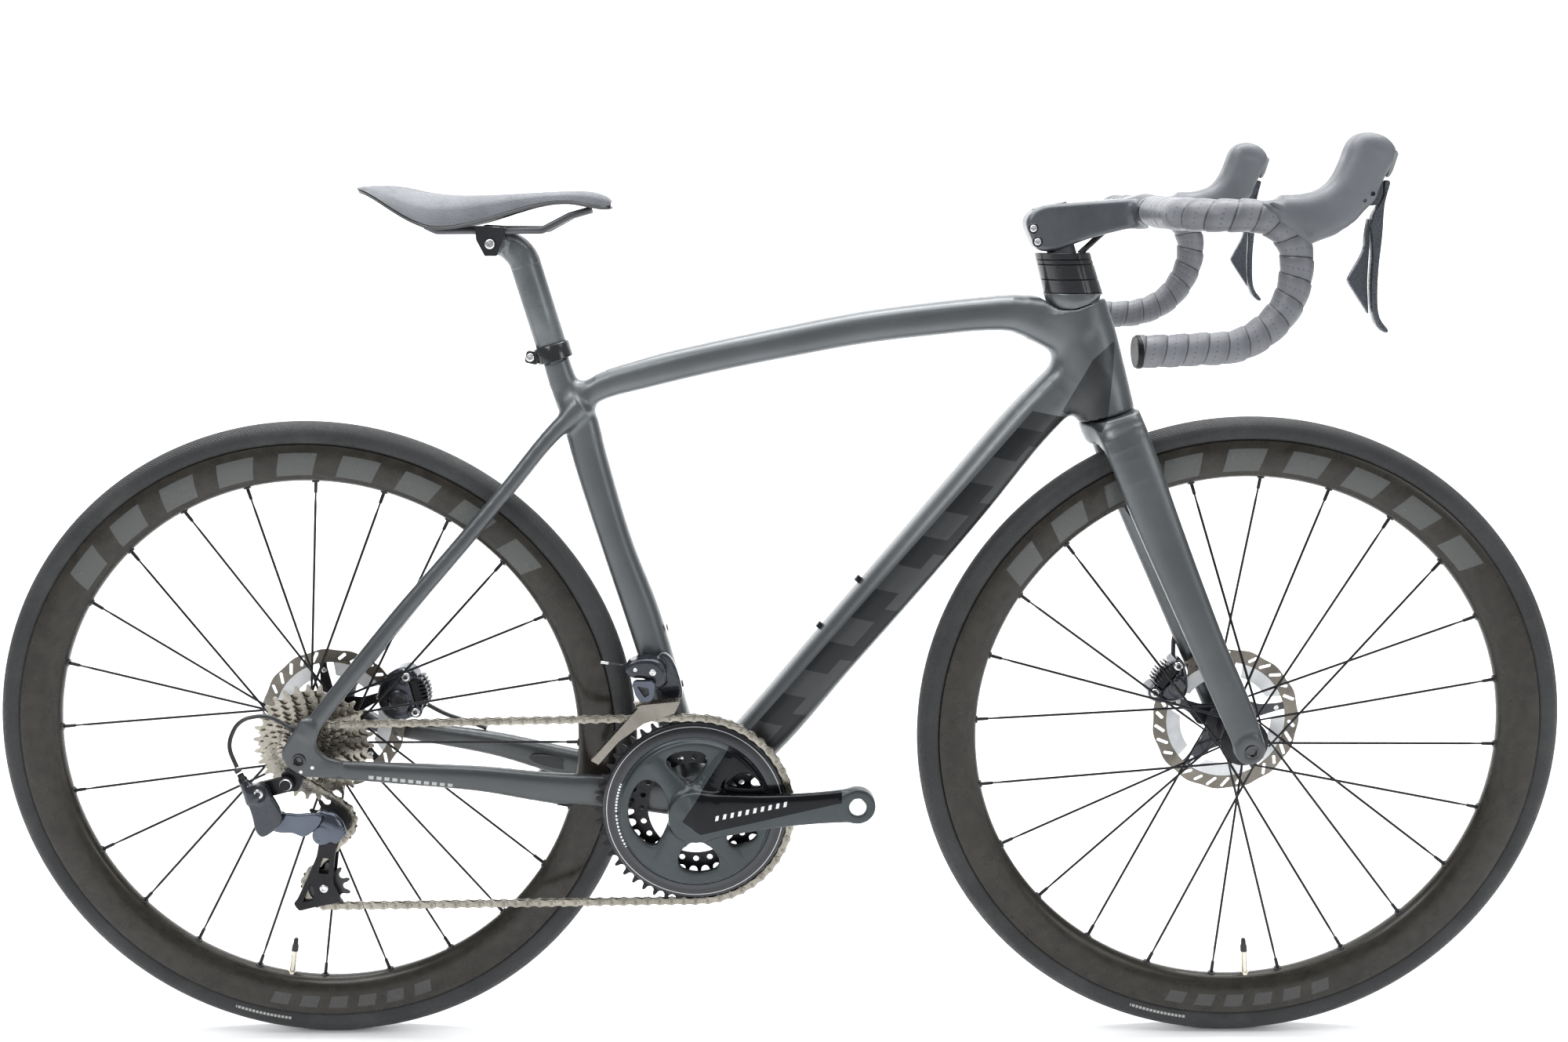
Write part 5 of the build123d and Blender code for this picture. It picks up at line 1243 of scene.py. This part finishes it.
def crank_right():
    """Spider and arm in one piece: a thin disc with rounded cut-outs, four raised arms and a domed hub."""
    f = Field((-172, -77, 186), (108, -43, 360), 1.2)
    f.disc(BB, -52.6, -49.1, 81, 0)
    f.bore(BB, -60, -40, 70.5)
    f.disc(BB, -56.6, -50.4, 77.4, 1.5, 79.6)
    for turn, reach in ((127, 70), (237, 70), (-50, 69), (62, 70)):
        arm = [(0, 20, -58, 9), (24, 14, -58.5, 6.5), (46, 9, -56.6, 4.4), (reach, 6, -54.6, 2.8)]
        f.tube(crank_rows(arm, math.radians(turn)), 9, 2.2, 12)
    f.disc(BB, -69, -45.4, 26, 9, 23.6)
    arm = [(0, 24.5, -64.5, 7.8), (30, 22.8, -65.6, 7.0), (70, 18.6, -66, 6.6), (110, 16.8, -66, 6.4),
           (150, 17.2, -66, 6.4), (CRANK_LENGTH, 18.4, -66, 6.4)]
    f.tube(crank_rows(arm), 6, 3.6, 20)
    for outline in CUT_OUTS:
        f.cut_slab(smooth_outline(np.array(outline) + BB, 5), -59.3, -43, 2.5, 0.6)
    f.disc(on_crank(CRANK_LENGTH), -72.4, -59.6, 18.4, 3)
    f.bore(on_crank(CRANK_LENGTH), -80, -50, 8.9)
    spindle = lathe([(0.01, -60), (12, -60), (12, 61.5), (0.01, 61.5)], BB, 40)
    add("crank_shell_right", joined(f.skin(), spindle), "crank", "crank", "crank_arm_right", 50)
    pins = [bolt_head(on_crank(76.5, t), 5.2, -45.6, -49.4) for t in (50, -50, 133, -133)]
    add("ring_bolts", joined(*pins), "crank", "anodised")
    cover = [(80.2, -48.7), (80.2, -51.2), (81.4, -52.0), (90, -51.4), (95.2, -50.2), (96.4, -49.2),
             (96.4, -48.7)]
    add("ring_cover", lathe(cover, BB, 160), "crank", "ring", "", 25)
    brace = bolt_head((BB[0] - 15, BB[1] + 50), 4.2, -37.6, -15)
    add("mech_brace_bolt", brace, "frame", "steel")


def crank_left():
    """Plain arm clamped on the spindle by two pinch bolts and a cap."""
    f = Field((-282, 43, 230), (-56, 76, 306), 1.3)
    arm = [(0, 21.5, 65.6, 6.8), (-40, 19.5, 66, 6.5), (-100, 16.4, 66, 6.3), (-150, 16.8, 66, 6.3),
           (-CRANK_LENGTH, 18, 66, 6.3)]
    f.tube(crank_rows(arm), 5, 3.4, 18)
    f.disc(on_crank(-CRANK_LENGTH), 59.7, 72.3, 18, 3)
    f.disc(BB, 45.4, 71.4, 20, 5, 21.5)
    f.bore(on_crank(-CRANK_LENGTH), 50, 80, 8.9)
    f.bore(BB, 40, 61, 12.6)
    add("crank_shell_left", f.skin(), "crank", "crank", "crank_arm_left", 50)
    cap = lathe([(0.01, 73.6), (4, 73.6), (4.4, 72.4), (8.2, 72.4), (9.4, 73.8), (11.4, 73.4), (11.8, 71),
                 (0.01, 71)], BB, 40)
    x, z = on_crank(-31)
    pinch = [rings(pipe([(x + d, 66, z - 16.5), (x + d, 66, z - 21.6)], 3.4, 20)) for d in (-6, 6)]
    add("spindle_cap", joined(cap, *pinch), "crank", "anodised")


# ---------------------------------------------------------------- derailleurs
GUIDE, TENSION, CAGE = (-466.5, 263.0), (-477.32, 190.81), (-472.0, 256.0)
HANGER = (-528.4, 309.3)


def shifted(points, origin):
    """Points written about an origin, in the bicycle's own places."""
    return [(origin[0] + x, origin[1] + z) for x, z in points]


def mech_knuckle():
    """Upper knuckle with its barrel, hanging on a ring and a bolt."""
    f = Field((-558, -97, 254), (-500, -72, 332), 0.9)
    f.disc(HANGER, -92.6, -82.9, 10.4, 2)
    f.slab(smooth_outline([(-541, 303), (-536, 313), (-520, 311), (-511, 299), (-506.5, 285), (-510, 274),
                           (-526, 262), (-534, 268), (-537, 284)], 4), -92.2, -85.3, 4, 3)
    f.tube([(-534, -89, 302, 9, 5), (-545, -86, 321, 5, 4.4)], 5, 2.0, 0)
    add("knuckle_shell", f.skin(), "mech_knuckle", "mech", "rear_mech_knuckle", 50)
    line = [(-541, -86.5, 312), (-546.5, -84.6, 323), (-547.2, -84.4, 324.4), (-549, -83.6, 328)]
    barrel = rings(pipe(line, [(4.6, 4.6), (4.6, 4.6), (3.4, 3.4), (3.2, 3.2)], 24))
    ring = lathe([(5.4, -92.4), (8.0, -92.4), (9.0, -92.9), (8.6, -93.6), (6.2, -93.8), (5.4, -93.4)],
                 HANGER, 36)
    add("knuckle_barrel", joined(barrel, ring), "mech_knuckle", "anodised")
    add("knuckle_bolt", bolt_head(HANGER, 5.2, -94.0, -92.0, 0.55), "mech_knuckle", "steel")


def mech_links():
    """Broad outer link and narrow inner link of the parallelogram."""
    f = Field((-534, -86, 248), (-462, -60, 296), 0.8)
    outer = [(-524, 268), (-519, 281), (-508, 284.5), (-492, 283.5), (-474, 284.5), (-468, 279), (-474, 268),
             (-487, 258.5), (-500, 262.5), (-513, 263)]
    ends = ((-516, 274), (-492, 262.5))
    f.slab(smooth_outline(outer, 4), -82.6, -78.5, 0, 1.9)
    f.tube([(x, -64, z, 5.4, 2) for x, z in ends], 1, 2.6, 0)
    for place in ends:
        f.disc(place, -65.9, -62.1, 5.4, 1)
    add("mech_links", f.skin(), "mech_arms", "blue_grey", "rear_mech_arms", 50)
    add("link_pin", bolt_head((-516, 275), 3.2, -83.3, -82.0), "mech_arms", "steel")


def mech_lower():
    """Lower knuckle round the cage's pivot, with the lug that the links hold."""
    f = Field((-500, -80, 236), (-440, -60, 296), 0.9)
    f.disc(CAGE, -75.4, -61.5, 9.4, 3)
    f.tube([(-477, -69.4, 279, 7.2, 5.4), (-469.4, -69.4, 270, 14.4, 7.6), (-461, -69.4, 261, 14.4, 7.6),
            (-453, -69.2, 251.5, 8.6, 6.2)], 5, 2.0, 14)
    f.cut_plane((0, -61.4, 0), (0, 1, 0), (-500, -66, 236), (-440, -60, 296))
    f.bore(CAGE, -74.6, -50, 4.5)
    add("lower_knuckle_shell", f.skin(), "mech_lower", "blue_grey", "rear_mech_lower", 40)


def mech_cage():
    """Outer and inner plates that hold both jockey wheels, their bolts, and the pivot boss."""
    def guide_arc(radius, start, end):
        return [(GUIDE[0] + radius * math.cos(a), GUIDE[1] + radius * math.sin(a))
                for a in np.radians(np.linspace(start, end, 12))]

    outline = guide_arc(9.5, -20, 190) + shifted(
        [(-6, 36), (-15, 16), (-29, -12), (-33.5, -17), (-28, -25.6), (-10, -21), (17, -15.5), (16, -8),
         (10, 6), (12, 30)], TENSION)
    windows = [[(-1, 34), (7, 33), (5.4, 16), (-5, 17)], [(-14, 6), (-10.6, -2), (-12, -13), (-24, -16)]]
    holes = [rounded(shifted(window, TENSION), 2)[::-1] for window in windows]
    outer = plate([rounded(outline, 3)] + holes, -57.5, -55.6, 0.35)
    outline = guide_arc(9, -8, 172) + shifted(
        [(-9, 8), (-29, -14), (-33, -17), (-28, -25), (-6, -13), (4, -8), (9, -1)], TENSION)
    inner = plate([rounded(outline, 3)], -46.4, -45.0, 0.3)
    tab = plate([rounded(shifted([(-33, -17), (-27.4, -25), (-25, -24), (-30.4, -16)], TENSION), 0.8)],
                -57.2, -45.2, 0.3)
    boss = lathe([(0.01, -55.8), (11, -55.8), (11, -60.4), (10.2, -61.1), (4, -61.1), (4, -73.8),
                  (0.01, -73.8)], CAGE, 40)
    pins = [lathe([(0.01, -45.2), (3, -45.2), (3, -56.8), (0.01, -56.8)], c, 20) for c in (GUIDE, TENSION)]
    add("cage_shell", joined(outer, inner, tab, boss, *pins), "mech_cage", "anodised",
        "rear_mech_cage", 40)
    caps = joined(bolt_head(GUIDE, 4.2, -59.0, -57.2), bolt_head(TENSION, 4.4, -59.2, -57.2))
    add("cage_bolts", caps, "mech_cage", "steel")


def hanger_bolt():
    """Ring bolt of the hanger, the boots at both ends of the shift housing, and the cable's end cap."""
    ring = lathe([(0.01, -80), (6.5, -80), (6.5, -83.6), (5.8, -84.4), (3.4, -84.4), (3.0, -83.2),
                  (0.01, -83.2)], (-503.0, 315.3), 32)
    add("hanger_ring_bolt", ring, "frame", "steel")
    boot = pipe([(-552.4, -82, 333), (-551.6, -82.4, 331.4), (-550, -83, 328.9)],
                [(2.4, 2.4), (3.6, 3.6), (3.4, 3.4)], 20)
    cuff = pipe([(-502, -69, 372.4), (-499, -67.6, 370.8), (-494, -65.5, 367)],
                [(2.6, 2.6), (3.6, 3.6), (3.8, 3.8)], 20)
    add("housing_boots", joined(rings(boot), rings(cuff)), "frame", "black_satin")
    tip = pipe([(-175, -30, 427.2), (-183, -30, 428.4)], 1.7, 12)
    add("cable_tip", rings(tip), "frame", "steel")


def front_mech():
    """Body of the front derailleur on its seat tube bracket, with two bolts."""
    f = Field((-164, -47, 380), (-92, -15, 442), 1.0)
    f.slab(smooth_outline([(-157, 423), (-150, 433), (-128, 434.5), (-117, 426), (-115, 410), (-121, 403.4),
                           (-130, 404.6), (-137, 413), (-150, 414.6)], 4), -43, -20, 0, 4)
    foot = smooth_outline([(-123, 436), (-108, 428), (-98.5, 392), (-111, 386), (-126, 400)], 4)
    f.slab(foot, -27, -18, 3, 2)
    add("front_mech_body", f.skin(), "frame", "mech", "front_mech_base", 50)
    bolts = joined(bolt_head((-128, 421), 3.6, -44.8, -42.6), bolt_head((-146, 424), 2.2, -44.0, -42.6))
    add("front_mech_bolt", bolts, "frame", "steel")


def front_link():
    """Polished link of the front derailleur, cut to a frame round a dark window."""
    outline = rounded([(-149, 411), (-146, 414.3), (-128, 414.3), (-125, 411), (-126.4, 399), (-130, 391.4),
                       (-141, 391.4), (-146, 399)], 2)
    window = rounded([(-143.5, 408.5), (-132, 406.5), (-131.5, 400), (-136, 397)], 1.2)
    face = plate([outline, window[::-1]], -50.6, -47.6, 0.5)
    back = plate([outline], -47.8, -44.5, 0.4)
    add("front_link_shell", joined(face, back), "front_mech", "blue_grey", "front_mech_link")
    core = joined(plate([window], -48.4, -47.6, 0.2), bolt_head((-137.5, 402.5), 1.8, -49.4, -48))
    add("front_link_core", core, "front_mech", "black_satin")


# ---------------------------------------------------------------- brakes and lines
FINS = {"rear": ((-392, 373), 12.7, 14.5), "front": ((420.4, 391.4), 141, 12.5)}


def brake(end, axle, outline, caps, spots, body):
    """Caliper body cut for the rotor and for the pads' fins, with piston caps and bolts."""
    y = ROTOR_Y[end]
    xs, zs = [p[0] for p in outline], [p[1] for p in outline]
    f = Field((min(xs) - 8, y - 17, min(zs) - 8), (max(xs) + 8, y + 21, max(zs) + 8), 1.1)
    f.slab(smooth_outline(outline, 4), y - 11, y + 15, 0, 4.5)
    for places, radius in ((caps, 10.0), (spots, 7.0)):
        for place in places:
            f.disc(place, y - 12.5, y + 16, radius, 3)
    middle, lean, half = FINS[end]
    slot = [(-7.2, -half - 1), (14, -half - 1), (14, half + 1), (-7.2, half + 1)]
    f.cut_slab(turned(slot, middle, lean), y - 18, y + 24, 1.5)
    f.bore(axle, y - 4.2, y + 4.2, 82.5)
    add(f"caliper_shell_{end}", f.skin(), body, "caliper", f"{end}_caliper", 50)
    cap = [(0.01, y - 12), (7.6, y - 12), (7.6, y - 13.6), (6.8, y - 14.3), (0.01, y - 14.3)]
    add(f"caliper_caps_{end}", joined(*[lathe(cap, place, 32) for place in caps]), body, "black_gloss")
    heads = [bolt_head(place, 5.0, y - 14.6, y - 10.2) for place in spots]
    heads += [bolt_head(place, 4.4, y + 17.6, y + 14.2) for place in spots]
    add(f"caliper_bolts_{end}", joined(*heads), body, "chrome")


def fins(end):
    """Cooling fins that stand out of a caliper on the pads' backing plates."""
    middle, lean, half = FINS[end]
    teeth = 7
    pitch = 2 * half / 6.6
    comb = [(-6, half), (-6, -half)]
    for k in range(teeth):
        low = -half + k * pitch
        reach = 7.0 + 2.2 * math.cos((k - 3) * 0.55)
        comb += [(reach, low), (reach, low + pitch * 0.5), (1.6, low + pitch * 0.6),
                 (1.6, low + pitch * 0.94)]
    saw = np.array(turned(comb[:-1], middle, lean))
    for side, far in ((-1, 11.8), (1, 14)):
        hand = HANDS[side][0]
        near, far = ROTOR_Y[end] + side * 1.6, ROTOR_Y[end] + side * far
        part = plate([saw], min(near, far), max(near, far), 0.25)
        add(f"pad_fins_{end}_{hand}", part, f"pad_{end}_{hand}", "anodised")


def front_lines():
    """Hoses that drop from the stem, and the one that leaves the fork leg for the front caliper."""
    drops = [rings(pipe([(334, y, 869.7), (309, y, 846.7)], 2.4, 16)) for y in (-5, 5)]
    bend = spline([(450, 52, 458), (441, 54, 446), (434.5, 54.5, 430), (433, 52, 408)], 20)
    tail = rings(pipe(bend, 2.5, 16))
    add("front_lines", joined(*drops, tail), "steering", "hose", "front_hoses")


def axle_faces():
    """Ends of both axles in their dropouts, two light dots on the dropout, and a plug in the left stay."""
    for name, centre, y, body in (("rear", REAR, 78.2, "frame"), ("front", FORK_AXLE, 64.2, "steering")):
        hole = [(0.01, -y + 1.4), (4.4, -y + 1.4), (5.0, -y - 0.9), (6.0, -y - 1.3), (7.0, -y - 0.9),
                (7.0, -y + 3), (0.01, -y + 3)]
        head = [(0.01, y - 2), (7.4, y - 2), (7.4, y + 0.9), (6.6, y + 1.5), (3.4, y + 1.5), (3.0, y - 0.6),
                (0.01, y - 0.6)]
        faces = joined(lathe(hole, centre, 36), lathe(head, centre, 36))
        add(f"axle_faces_{name}", faces, body, "black_gloss")
    dots = [lathe([(0.01, -77.6), (r, -77.6), (r, -78.5), (0.01, -78.5)], (x, z), 18)
            for x, z, r in ((-488, 327.5, 1.7), (-476, 332, 1.9))]
    add("dropout_dots", joined(*dots), "frame", "fins")
    plug = np.array(turned(circle((0, 0), 1.0) * [26, 6.4], (-246, 296), -12))
    add("stay_plug", plate([plug], 31.2, 34.5, 0.5), "frame", "black_satin")


# ---------------------------------------------------------------- chain
def chain_solids():
    """The CAD chain's solids, one set of points per plate, pin or roller."""
    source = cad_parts["chain"].data
    place = np.zeros(len(source.vertices) * 3)
    source.vertices.foreach_get("co", place)
    place = place.reshape(-1, 3) * 1000
    edges = np.zeros(len(source.edges) * 2, np.int32)
    source.edges.foreach_get("vertices", edges)
    _, same = np.unique(np.round(place, 3), axis=0, return_inverse=True)
    a, b = same.ravel()[edges.reshape(-1, 2)].T
    label, before = np.arange(same.max() + 1), None
    while before is None or (label != before).any():
        before = label.copy()
        low = np.minimum(label[a], label[b])
        np.minimum.at(label, a, low)
        np.minimum.at(label, b, low)
        label = label[label]
    label = label[same.ravel()]
    return [place[label == key] for key in np.unique(label)]


def chain_middle(x):
    """The chain's own y, which runs from the jockey wheels' plane to the big ring's."""
    start, end = GUIDE[0] + 36, BB[0] - 60
    jockey_y, ring_y = -50.98, -46.8
    share = min(max((x - start) / (end - start), 0.0), 1.0)
    return jockey_y + (ring_y - jockey_y) * share


def chain_links():
    """Figure-eight plates, rollers and pin heads laid on the links of the CAD chain."""
    half_link, plate_radius, thick = 6.35, 4.15, 0.75
    eight = []
    for sign in (1, -1):
        for t in np.radians(np.linspace(-118, 118, 13)):
            eight.append((sign * (half_link + plate_radius * math.cos(t)), sign * plate_radius * math.sin(t)))
        eight.append((0, sign * 2.9))
    eight = np.array(eight)
    plates, pins = [], []
    for pts in chain_solids():
        low, high = pts.min(0), pts.max(0)
        centre = (low + high) / 2
        flat = pts[:, [0, 2]] - centre[[0, 2]]
        d = np.linalg.eigh(flat.T @ flat)[1][:, 1]
        n = np.array([-d[1], d[0]])
        y0, y1 = low[1], high[1]
        inner = y1 - y0 > 2.5
        if inner:
            spans = [(y0, y0 + thick), (y1 - thick, y1)]
        elif y1 - y0 <= 0.8:
            spans = [(y0, y1)]
        else:
            spans = [(y0 + 0.2, y1) if centre[1] < chain_middle(centre[0]) else (y0, y1 - 0.2)]
        for near, far in spans:
            loops = []
            for y, k in ((near, 0.95), (near + 0.15, 1.0), (far - 0.15, 1.0), (far, 0.95)):
                at = eight * k
                loops.append(np.column_stack([centre[0] + at[:, 0] * d[0] + at[:, 1] * n[0],
                                              np.full(len(at), y),
                                              centre[2] + at[:, 0] * d[1] + at[:, 1] * n[1]]))
            plates.append(rings(loops))
        roller = [(0.3, y0 + 0.8), (3.8, y0 + 0.8), (3.8, y1 - 0.8), (0.3, y1 - 0.8)]
        pin = [(0.3, y0), (1.6, y0), (1.8, y0 + 0.12), (1.8, y1 - 0.12), (1.6, y1), (0.3, y1)]
        for reach in (half_link, -half_link):
            spot = (centre[0] + reach * d[0], centre[2] + reach * d[1])
            pins.append(lathe(roller, spot, 14) if inner else lathe(pin, spot, 12))
    add("chain_plates", joined(*plates), "frame", "chain", "chain", 30)
    add("chain_pins", joined(*pins), "frame", "rotor", "", 30)


frame_shell()
fork()
for end, centre, valve, start, flanges, rotor_turn in (("front", FRONT, 274.5, 12, (-33, 24), 8),
                                                       ("rear", REAR, 260.5, 13, (-17, 34), 20)):
    wheel(end, centre, valve, start)
    spokes(end, centre, start, flanges)
    rotor(end, centre, rotor_turn)
    fins(end)
for side in HANDS:
    tape(side)
    hood(side)
    pedal_thread(side)
for build in (hubs, stem_shell, spacers, levers, seat, saddle, crank_right, crank_left, mech_knuckle,
              mech_links, mech_lower, mech_cage, hanger_bolt, front_mech, front_link, front_lines,
              axle_faces, chain_links):
    build()
brake("rear", REAR, [(-438, 372), (-432, 346), (-412, 340), (-391, 352), (-389, 380), (-402, 400),
                     (-424, 394)], [(-414, 364)], [(-405, 391), (-396, 351)], "frame")
brake("front", FRONT, [(403, 372), (412, 362), (436, 364), (445, 374), (443, 398), (433, 410), (417, 398)],
      [(434, 381)], [(433, 404), (409, 374)], "steering")

# ---------------------------------------------------------------- CAD nodes that stay, by finish
KEPT = {
    "nickel": "headset cassette freehub",
    "anodised": "bottom_bracket derailleur_hanger frame_bolts rear_axle front_axle "
                "chainring_big chainring_small",
    "hose": "rear_cables",
    "black_gloss": "saddle_clamp",
    "rail": "saddle_rails",
    "black_satin": "handlebar guide_pulley tension_pulley",
    "cage": "front_mech_cage",
    "pad": "front_pad_left front_pad_right rear_pad_left rear_pad_right",
    "lever": "lever_pivot_left lever_pivot_right",
}
TOOTHED = ("cassette", "chainring_big", "chainring_small")


def dress(item, finish, soft_edges):
    """Gives a CAD node its finish and, unless it is toothed, a fine bevel that catches the light."""
    item.data.materials.clear()
    item.data.materials.append(M[finish])
    item.data.shade_smooth()
    item.data.set_sharp_from_angle(angle=math.radians(32))
    if soft_edges:
        edge = item.modifiers.new("edge", "BEVEL")
        edge.width = 0.0004
        edge.segments = 2
        edge.limit_method = "ANGLE"


for finish, nodes in KEPT.items():
    for node in nodes.split():
        dress(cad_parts[node], finish, node not in TOOTHED)


# ---------------------------------------------------------------- stage, light, camera
def stage():
    """Pale floor that bends up into a wall behind the bicycle."""
    p = Paint("floor_white", (0.86, 0.865, 0.87), 0.5, spec=0.3)
    tint = p.mix(p.ramp(p.noise(1.2, 3.0), 0.3, 0.7), (0.86, 0.865, 0.87), (0.89, 0.893, 0.897))
    cover = p.done(tint, p.ramp(p.noise(4.0), 0.3, 0.7, 0.42, 0.6), p.noise(90.0), 0.02)
    wall, radius = 3600, 1500
    bend = [(wall - radius + radius * math.sin(a), radius - radius * math.cos(a))
            for a in np.linspace(0, math.pi / 2, 20)]
    rows = [(y, 0) for y in np.linspace(-4200, 2000, 24)] + bend + [(wall, 2600), (wall, 5200)]
    columns = np.linspace(-6500, 6500, 40)
    verts = [(x, y, z) for y, z in rows for x in columns]
    n = len(columns)
    faces = [(i * n + j, i * n + j + 1, (i + 1) * n + j + 1, (i + 1) * n + j)
             for i in range(len(rows) - 1) for j in range(n - 1)]
    mesh = bpy.data.meshes.new("floor")
    mesh.from_pydata((np.array(verts, float) * 0.001).tolist(), [], faces)
    mesh.shade_smooth()
    mesh.materials.append(cover)
    floor = bpy.data.objects.new("floor", mesh)
    scene.collection.objects.link(floor)


def area_light(name, place, target, size, power):
    """Soft rectangular light aimed at a target."""
    data = bpy.data.lights.new(name, "AREA")
    data.shape = "RECTANGLE"
    data.size, data.size_y = size
    data.energy = power
    lamp = bpy.data.objects.new(name, data)
    scene.collection.objects.link(lamp)
    lamp.location = place
    lamp.rotation_euler = (Vector(target) - Vector(place)).to_track_quat("-Z", "Y").to_euler()


def lights():
    """Cool studio surround, soft lights over and beside the bicycle, and washes on wall and floor."""
    world = bpy.data.worlds.new("studio")
    scene.world = world
    world.use_nodes = True
    background = world.node_tree.nodes["Background"]
    background.inputs["Color"].default_value = (0.93, 0.97, 1.0, 1)
    background.inputs["Strength"].default_value = 0.42
    area_light("top", (0, -0.25, 3.4), (0, 0, 0.4), (4.6, 1.6), 95)
    area_light("key", (-1.9, -2.6, 2.7), (0, 0, 0.45), (1.6, 1.2), 42)
    area_light("fill", (2.6, -2.2, 1.4), (0.1, 0, 0.5), (1.2, 1.6), 16)
    area_light("back_wall", (0, 1.1, 4.6), (0, 3.6, 0.9), (6.5, 1.2), 330)
    area_light("back_floor", (0, 1.6, 3.4), (0, 1.4, 0), (6.0, 1.6), 34)
    area_light("front_floor", (0, -0.9, 2.6), (0, -0.6, 0), (4.5, 0.5), 12)


def camera():
    """Lens, shift and stand of the camera: nearly square on, a little above the hubs."""
    data = bpy.data.cameras.new("camera")
    data.lens = 36.644
    data.sensor_width = 36.0
    data.shift_x = 0.00758
    data.shift_y = -0.0435
    view = bpy.data.objects.new("camera", data)
    scene.collection.objects.link(view)
    pan, roll, tilt = 0.0076, 0.006, -0.1684
    turn = Matrix.Rotation(pan, 3, "Z") @ Matrix.Rotation(roll, 3, "Y") @ Matrix.Rotation(tilt, 3, "X")
    right, ahead, up = turn.col[0], turn.col[1], turn.col[2]
    basis = Matrix((right, up, -ahead)).transposed()
    view.matrix_world = Matrix.Translation((0.0108411, -1.6337153, 0.9218777)) @ basis.to_4x4()
    scene.camera = view


scene.view_settings.view_transform = "Standard"
stage()
lights()
camera()
